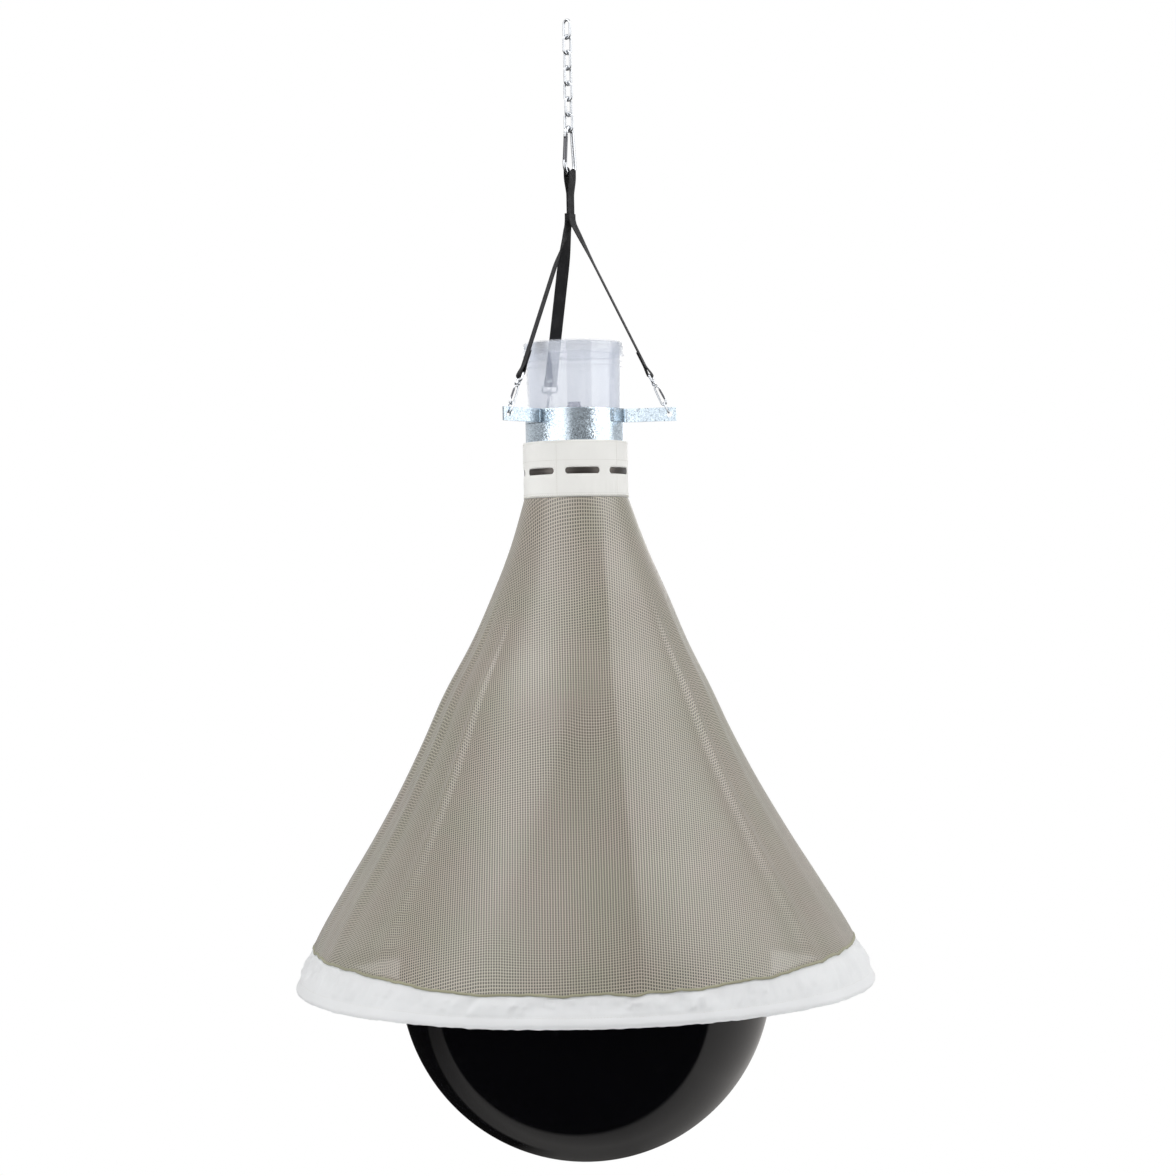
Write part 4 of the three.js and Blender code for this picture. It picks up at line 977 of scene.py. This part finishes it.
def crease(angle, where, width, depth):
    gap = wrap(angle - where) / width
    return depth * (peak(gap) - 0.6 * peak(gap - 1.5) - 0.4 * peak(gap + 1.5))


def along(row, share):
    """A value read off a row of (share, value) points."""
    for (s, a), (e, b) in zip(row, row[1:]):
        if share <= e:
            return lerp(a, b, (share - s) / (e - s))
    return row[-1][1]


def panel(angle, share, radius):
    """The flatter panel of net between the two long folds at the front, which stand out as ridges."""
    left, right = along(PANEL_LEFT, share), along(PANEL_RIGHT, share)
    half = radians((right - left) / 2)
    place = radians(wrap(angle - (left + right) / 2))
    depth = radius * half * half / 2
    inside = lambda p: (p / half) ** 2 - 0.4
    level = lambda p: depth * (inside(p) if abs(p) < half else 0.6 * exp((half - abs(p)) / 0.16))
    soft = 0.07 * min(max(-place / half, 0), 1)
    return (level(place - soft) + 2 * level(place) + level(place + soft)) / 4


def ridge(angle, share, radius):
    """The long fold at the front, with a slope on either side of it that fades out toward the back."""
    place = radians(wrap(angle - along(PANEL_RIGHT, share)))
    soft = hypot(place, 0.02) - 0.02
    fade = 1 - smooth((abs(place) - 1.9) / 1.15)
    if place > 0:
        return -min(0.036 * radius, 8) * fade * (1 - exp(-soft / 0.28))
    return -13 * (1 - smooth((share - 0.14) / 0.3)) * fade * (1 - exp(-soft / 0.45))


def net_radius(angle, height):
    """The net's outer radius. It hangs in soft waves with a few creases from when it was folded."""
    share = (CONE_TOP - height) / CONE_DROP
    base = lerp(COLLAR_OUT + 0.8, HOOP_REACH + HEM_ROLL, flare(share))
    free = sin(pi * min(max(share, 0), 1)) ** 0.8
    a = radians(angle)
    drift = at(1.6 * cos(a), 1.6 * sin(a), height / 420)
    waves = 2.2 * noise.noise(drift) + 1.1 * noise.noise(drift * 2.7)
    folds = sum(crease(angle, *fold) for fold in NET_CREASES) * smooth((share - 0.12) / 0.3)
    cross = sum(
        d * peak(share - s - 0.0016 * wrap(angle - w), 0.012) * peak(wrap(angle - w), 26)
        for w, s, d in NET_DENTS
    )
    return base - 1.4 + free * (waves + folds + cross + panel(angle, share, base) + ridge(angle, share, base) + 2)


def hem_edge(angle):
    a = radians(angle)
    drift = at(4 * cos(a), 4 * sin(a), 0)
    wave = 4.6 * noise.noise(drift) + 3.0 * noise.noise(drift * 3.1) + 1.4 * noise.noise(drift * 9)
    return HOOP_HEIGHT + HEM_RISE - HEM_DIP * sin(a) ** 2 + wave


def add_net(net, selvage):
    columns, rows = 360, 110
    slope = sin(atan((HOOP_REACH - COLLAR_OUT) / CONE_DROP))
    points, uvs = [], []
    for i in range(rows + 1):
        for k in range(columns + 1):
            angle = NET_SEAM - 360 * (1 - k / columns)
            height = lerp(CONE_TOP - 0.3, hem_edge(angle), i / rows)
            r = net_radius(angle, height)
            points.append(polar(angle, r, height))
            run = r / slope
            phi = radians(angle + 90) * slope
            uvs.append((run * sin(phi) * MM, -run * cos(phi) * MM))
    faces = [face[::-1] for face in grid_faces(rows + 1, columns + 1)]
    cone = stand_in("net_cone", [(points, faces)], net, "mesh_cone", uvs)

    def strip(name, line, width, lift, material):
        """A doubled strip sewn over the net along a line of (angle, height) points."""
        out, flat = [], []
        run = 0
        for i, (angle, height) in enumerate(line):
            r0 = net_radius(angle, height)
            for x, z in ((-0.5, 0), (-0.45, 1), (0, 1.25), (0.45, 1), (0.5, 0)):
                if name == "net_seam":
                    out.append(polar(angle + degrees(x * width / r0), r0 + lift * z, height))
                else:
                    drop = height + x * width
                    out.append(polar(angle, net_radius(angle, drop) + lift * z, drop))
                flat.append((x * width * MM, run * MM))
            if i + 1 < len(line):
                run += abs(line[i + 1][1] - height) + abs(radians(line[i + 1][0] - angle)) * r0
        return add_piece(name, [(out, grid_faces(len(line), 5))], material, "mesh_cone", flat)

    down = [(NET_SEAM, lerp(CONE_TOP - 0.5, HOOP_HEIGHT + HEM_RISE - HEM_DIP + 2, k / 90)) for k in range(91)]
    seam = strip("net_seam", down, 13, 0.7, net)
    edge = [(360 * k / 420, hem_edge(360 * k / 420) + 1.2) for k in range(421)]
    binding = strip("net_selvage", edge, 3.4, 0.9, selvage)


def add_hem(cloth, thread):
    """The white hem: one strip from the net's edge down its slope and round the hoop."""
    columns, rows, turns = 540, 16, 18
    tangent = degrees(atan((HOOP_REACH - COLLAR_OUT) / CONE_DROP))
    roll = HEM_ROLL - 0.5

    def pucker(angle, share):
        """Creases that run down from the gathered edge, and small pleats at the stitched roll."""
        a = radians(angle)
        slant = a + 0.035 * share
        long = round_noise(15, slant, share * 0.7)
        fine = round_noise(46, slant, share * 1.4 + 4)
        ridge = (1 - min(abs(round_noise(24, slant, share + 9)) * 4, 1)) ** 2
        reach = sin(pi * min(share * 0.9 + 0.08, 1))
        return 6.5 * long * reach + 2.6 * fine * (0.35 + share) + 3.5 * ridge * reach

    low = HOOP_HEIGHT + roll * sin(radians(tangent))
    end = HOOP_REACH + roll * cos(radians(tangent))

    def slope_point(angle, share):
        """Radius and height down the hem, from under the net's edge to the roll."""
        top = hem_edge(angle) + 5
        line = lerp(net_radius(angle, top) - 1.3, end, share)
        loose = sin(pi * min(max(share - 0.1, 0) / 0.78, 1))
        return line + pucker(angle, share) * loose, lerp(top, low, share)

    points, uvs = [], []
    total = rows + turns + 1
    for i in range(total):
        for k in range(columns):
            angle = 360 * k / columns
            if i < rows:
                share = i / rows
                r, height = slope_point(angle, share)
                r -= 1.1 * peak(share - STITCHED, 0.045)
                run = share * HEM_SLOPE
            else:
                s = (i - rows) / turns
                turn = radians(tangent - HEM_WRAP * s)
                wobble = 1 + 0.05 * pucker(angle, 0.9) * sin(pi * s)
                r = HOOP_REACH + roll * wobble * cos(turn)
                height = HOOP_HEIGHT + roll * wobble * sin(turn)
                run = HEM_SLOPE + s * radians(HEM_WRAP) * roll
            points.append(polar(angle, r, height))
            uvs.append((radians(angle) * HOOP_REACH * MM, -run * MM))
    faces = [face[::-1] for face in grid_faces(total, columns, False, True)]
    hem = stand_in("hem_cloth", [(points, faces)], cloth, "hem", uvs)
    thicken(hem, 0.8, -1)
    parts = []
    count = 620
    for k in range(count):
        path = []
        for s in (0.16, 0.32, 0.5, 0.68, 0.84):
            angle = 360 * (k + s) / count
            r, height = slope_point(angle, STITCHED)
            path.append(polar(angle, r - 1.1 + (0.25 if 0.2 < s < 0.8 else -0.1), height))
        parts.append(tube(path, HEM_THREAD, 5, start=Z))
    stitches = add_piece("hem_stitches", parts, thread, "hem")


# Hook, cord and ball
def add_hook(zinc):
    eye = tube(arc(Z * HOOK_EYE, HOOK_REACH, Y, Z, 0, 360, 56)[:-1], HOOK_WIRE / 2, 18, True, X)
    top = SEAT_BASE + 2 + SEAT + 5 + 2.5
    ridges = []
    low = SEAT_BASE - 1.5
    for k in range(int((top - 1 - low) / 0.8)):
        ridges += [(2.62, low + 0.8 * k), (3, low + 0.8 * k + 0.4)]
    profile = [(0, HOOK_EYE + 7), (2.9, HOOK_EYE + 7), (2.9, low - 0.5), *ridges, (2.4, top), (0, top)]
    stand_in("hook_eye", [eye, turned(profile, 32, False)], zinc, "hook_bolt", sharp=50)


def add_cord(cord_look):
    down = lambda x, drop, y=0.0: at(x, y, CORD_PIVOT - drop)
    bend = HOOK_WIRE / 2 + SEAT + CORD_RADIUS
    close = CORD_RADIUS + SEAT
    up = [down(-close, KNOT_DROP, 2.2), down(-close, KNOT_DROP - 12, 1.6)]
    up += [down(-close, d) for d in (150, 110, 70, 40, 18)]
    over = arc(down(0, 0), bend, X, Z, 180, 0, 10)
    fall = [down(close, d) for d in (18, 40, 70, 110, 150, KNOT_DROP - 12)]
    shares = zip(CORD_SHARES, CORD_DROPS)
    side = [(share * CORD_SPREAD, lerp(KNOT_DROP, CORD_DROP, drop)) for share, drop in shares]
    right = [down(x, d) for x, d in side]
    left = [down(-x, d, -2.2 * (1 - smooth((d - KNOT_DROP) / 30))) for x, d in side][::-1]
    bottom = [down(x, CORD_DROP) for x in (18, 9, 0, -9, -18)]
    path = spline([*up, *over, *fall, *right, *bottom, *left], 6)
    main = stand_in("cord_loop", [tube(path, CORD_RADIUS, 12)], cord_look, "ball_cord")
    helix = []
    knot_turns, knot_reach, knot_half = 2.7, 4.3, 6.4
    for k in range(61):
        s = k / 60
        a = 2 * pi * knot_turns * s
        grow = knot_reach * sin(pi * min(max(s * 1.06 - 0.03, 0.02), 0.98)) ** 0.25
        helix.append(down(grow * cos(a), KNOT_DROP + lerp(-knot_half, knot_half, s), grow * sin(a)))
    knot = add_piece("cord_knot", [tube(helix, CORD_RADIUS + 0.05, 12)], cord_look, "ball_cord")
    inset = [(x - 5.5 * smooth(2 * s), d, 1.2) for (x, d), s in zip(side[:-1], CORD_DROPS)]
    hang = [down(x - 0.4, d, y + 1.6 * smooth((d - 190) / 60)) for x, d, y in inset[1:]]
    tail_path = spline([down(0.8, KNOT_DROP + 5, 1.2), *hang], 8)
    tail = add_piece("cord_tail", [tube(tail_path, CORD_RADIUS, 12)], cord_look, "ball_cord")


def add_ball(vinyl, rubber):
    tilt = spin(-PLUG_TILT, "X")
    centre = shift(Z * BALL_CENTRE)
    hole = asin(PLUG_HOLE / BALL_RADIUS)
    sweep = [hole + (pi - hole) * (k / 120) for k in range(121)]
    outer = []
    for a in sweep:
        gap = BALL_RADIUS * (a - hole)
        ring = -0.5 * peak(gap - 16, 1.4) - 0.7 * peak(gap, 1.2)
        r = BALL_RADIUS - 0.35 + ring
        outer.append((r * sin(a), r * cos(a)))
    outer[-1] = (0.0, outer[-1][1])
    lip = [(PLUG_HOLE, BALL_RADIUS - 12), (5.5, BALL_RADIUS - 6), (5.5, BALL_RADIUS - 1.8)]
    skin = moved(turned([*lip, *outer][::-1], SIDES, False), centre @ tilt)
    stand_in("ball_skin", [skin], vinyl, "ball")

    stem = [(0, -9, 0), (4.3, -9, 0.6), (4.9, -7, 0.5), (4.9, 0.3, 0.3)]
    stem += [(9, 0.3, 0.5), (9, 1.6, 0.9), (7.4, 2.6, 0.8), (0, 2.8, 0)]
    profile = rounded(stem, 0.4)
    place = centre @ tilt @ shift(Z * (BALL_RADIUS + SEAT))
    stand_in("air_plug_cap", [moved(turned(profile, 56, False), place)], rubber, "air_plug")

    rest = lambda r: sqrt((BALL_RADIUS + 0.3) ** 2 - r * r) - BALL_RADIUS
    foot = [(0, rest(0), 0), (12, rest(12), 0), (20.4, rest(20.4), 0.1), (21, rest(21) + 0.4, 0.3)]
    foot += [(21, 2.2, 0.8), (15.5, 4.4, 2), (9.5, 8, 4), (7, 14, 5), (6.8, 30, 0), (7, 58, 0), (0, 58, 0)]
    sleeve = rounded([(8, -18), (8, 18), (2.1, 18), (2.1, -18)], 1.2, 5)
    top = shift(Z * (BALL_CENTRE + BALL_RADIUS))
    across = shift(Z * LUG_AXIS) @ spin(90, "Y")
    body = [moved(turned(rounded(foot, 0.5), 72, False), top), moved(turned(sleeve, 48), across)]
    stand_in("lug_moulding", body, rubber, "ball_lug")


def dress(node, material, edges=0.0, angle=35):
    """Gives a CAD node its material, smooth faces and worn edges."""
    piece = nodes[node]
    piece.data.materials.clear()
    piece.data.materials.append(material)
    sharpen(piece, angle)
    if edges:
        bevel(piece, edges, 2, angle)


def add_floor():
    """Plain pale paper with the part's shadow, which fades to white far out."""
    data = bpy.data.meshes.new("floor")
    corners = [(x * FLOOR_REACH, y * FLOOR_REACH, FLOOR * MM) for x, y in ((-1, -1), (1, -1), (1, 1), (-1, 1))]
    data.from_pydata(corners, [], [(0, 1, 2, 3)])
    s = Shader("paper", (0.9, 0.9, 0.9), 0.9)
    ray = s.node("LightPath").outputs
    spot = s.split(s.coordinates["Object"])
    across, back, paper = spot["X"], spot["Y"], s.main.outputs[0]
    glow = lambda color, strength: s.node("Emission", {"Color": (*color, 1), "Strength": strength}).outputs[0]
    # What shiny pieces mirror of it starts under the part, dims with distance and stops at the back left
    front = s.span(s.add(back, s.times(across, 0.19)), -0.06, -0.02)
    behind = s.add(back, s.times(across, 0.3))
    hidden = s.times(s.span(behind, 0.26, 0.32), s.span(across, -0.25, -0.1, 1, 0))
    dim = s.times(s.math("POWER", s.math("MAXIMUM", back, 0.15), -0.75), 0.065)
    right = s.span(across, 0.15, 0.75)
    lit = s.add(s.times(dim, s.minus(1, right)), s.times(right, 0.54))
    lit = s.add(s.times(lit, s.times(front, s.minus(1, hidden))), 0.008)
    mirrored = s.choose(ray["Is Glossy Ray"], paper, glow((1, 0.97, 0.94), lit))
    reach = s.math("SQRT", s.add(s.times(across, across), s.times(back, back)))
    seen = s.choose(s.span(reach, 0.5, 1.5, 0.35, 1), paper, glow((1, 1, 1), 1))
    s.put(s.tree.nodes["Material Output"].inputs["Surface"], s.choose(ray["Is Camera Ray"], mirrored, seen))
    data.materials.append(s.material)
    add_object("floor", data)


zinc = metal("zinc", (0.66, 0.68, 0.71), 0.24)
galvanised = metal("galvanised", (0.62, 0.715, 0.80), 0.24, 0.0014)
stainless = metal("stainless", (0.56, 0.57, 0.58), 0.27)
dark_steel = metal("dark_steel", (0.13, 0.13, 0.14), 0.38)
black_thread = plastic("black_thread", (0.035, 0.035, 0.038), 0.6, 900)
white_thread = plastic("white_thread", (0.66, 0.65, 0.60), 0.7, 900)
rubber = plastic("rubber", (0.018, 0.018, 0.02), 0.5, 220)
hoop_plastic = plastic("hoop_plastic", (0.78, 0.77, 0.72), 0.5)
clear_plastic = clear("clear_plastic", (0.70, 0.76, 0.89), 0.07, 0.25)
lid_plastic = clear("lid_plastic", (0.78, 0.83, 0.92), 0.07, 0.12)
funnel_plastic = clear("funnel_plastic", (0.44, 0.42, 0.52), 0.16, 0.5)

add_chain(zinc)
add_carabiner(zinc)
add_harness(webbing_material(), black_thread)
add_leg_hardware(zinc)
add_ring(galvanised)
add_welds(galvanised)
add_jar(clear_plastic, lid_plastic, funnel_plastic)
add_collar(cloth_material("white_cloth", (0.89, 0.885, 0.855)), white_thread)
add_clamp(band_material())
add_net(net_material(), cloth_material("selvage", (0.36, 0.35, 0.24), 0.0017, 0.7))
add_hem(cloth_material("hem_cloth", (0.83, 0.84, 0.85), 0.0014), white_thread)
add_hook(zinc)
add_cord(cord_material())
add_ball(vinyl_material(), rubber)

dress("carabiner_gate", dark_steel, 0.25)
dress("carabiner_pin", zinc, 0.2)
for arm, *_ in ARMS:
    dress(f"snap_gate_{arm}", dark_steel, 0.12)
    dress(f"snap_pin_{arm}", zinc, 0.08)
    dress(f"arm_{arm}", galvanised, 0.5)
dress("seat_plate", galvanised, 0.3)
dress("clamp_housing", stainless, 0.25)
dress("clamp_screw", stainless, 0.3)
dress("hook_nut", zinc, 0.4)
dress("hoop", hoop_plastic)

add_floor()
add_camera()
add_world()
# Two tall soft boxes in front, two small high ones for the net's gloss, and a weak one behind
for name, turn, width, power in (("left_box", -42, 2.0, 35), ("right_box", 68, 2.05, 36)):
    add_lamp(name, bearing(turn - 90) * 2 - Z * 0.1, (0, 0, -0.95), width, 3.4, power)
add_lamp("left_high", (-1.2, -0.4, 1.1), (0, 0, -1.2), 1.2, 1.1, 12)
add_lamp("right_high", (1.4, -0.2, 0.9), (0, 0, -1.2), 1.2, 1.1, 7)
add_lamp("back_box", (0.6, 2.6, 0.2), (0, 0, -0.8), 1.6, 1.6, 12)

bpy.context.scene.view_settings.view_transform = "Standard"
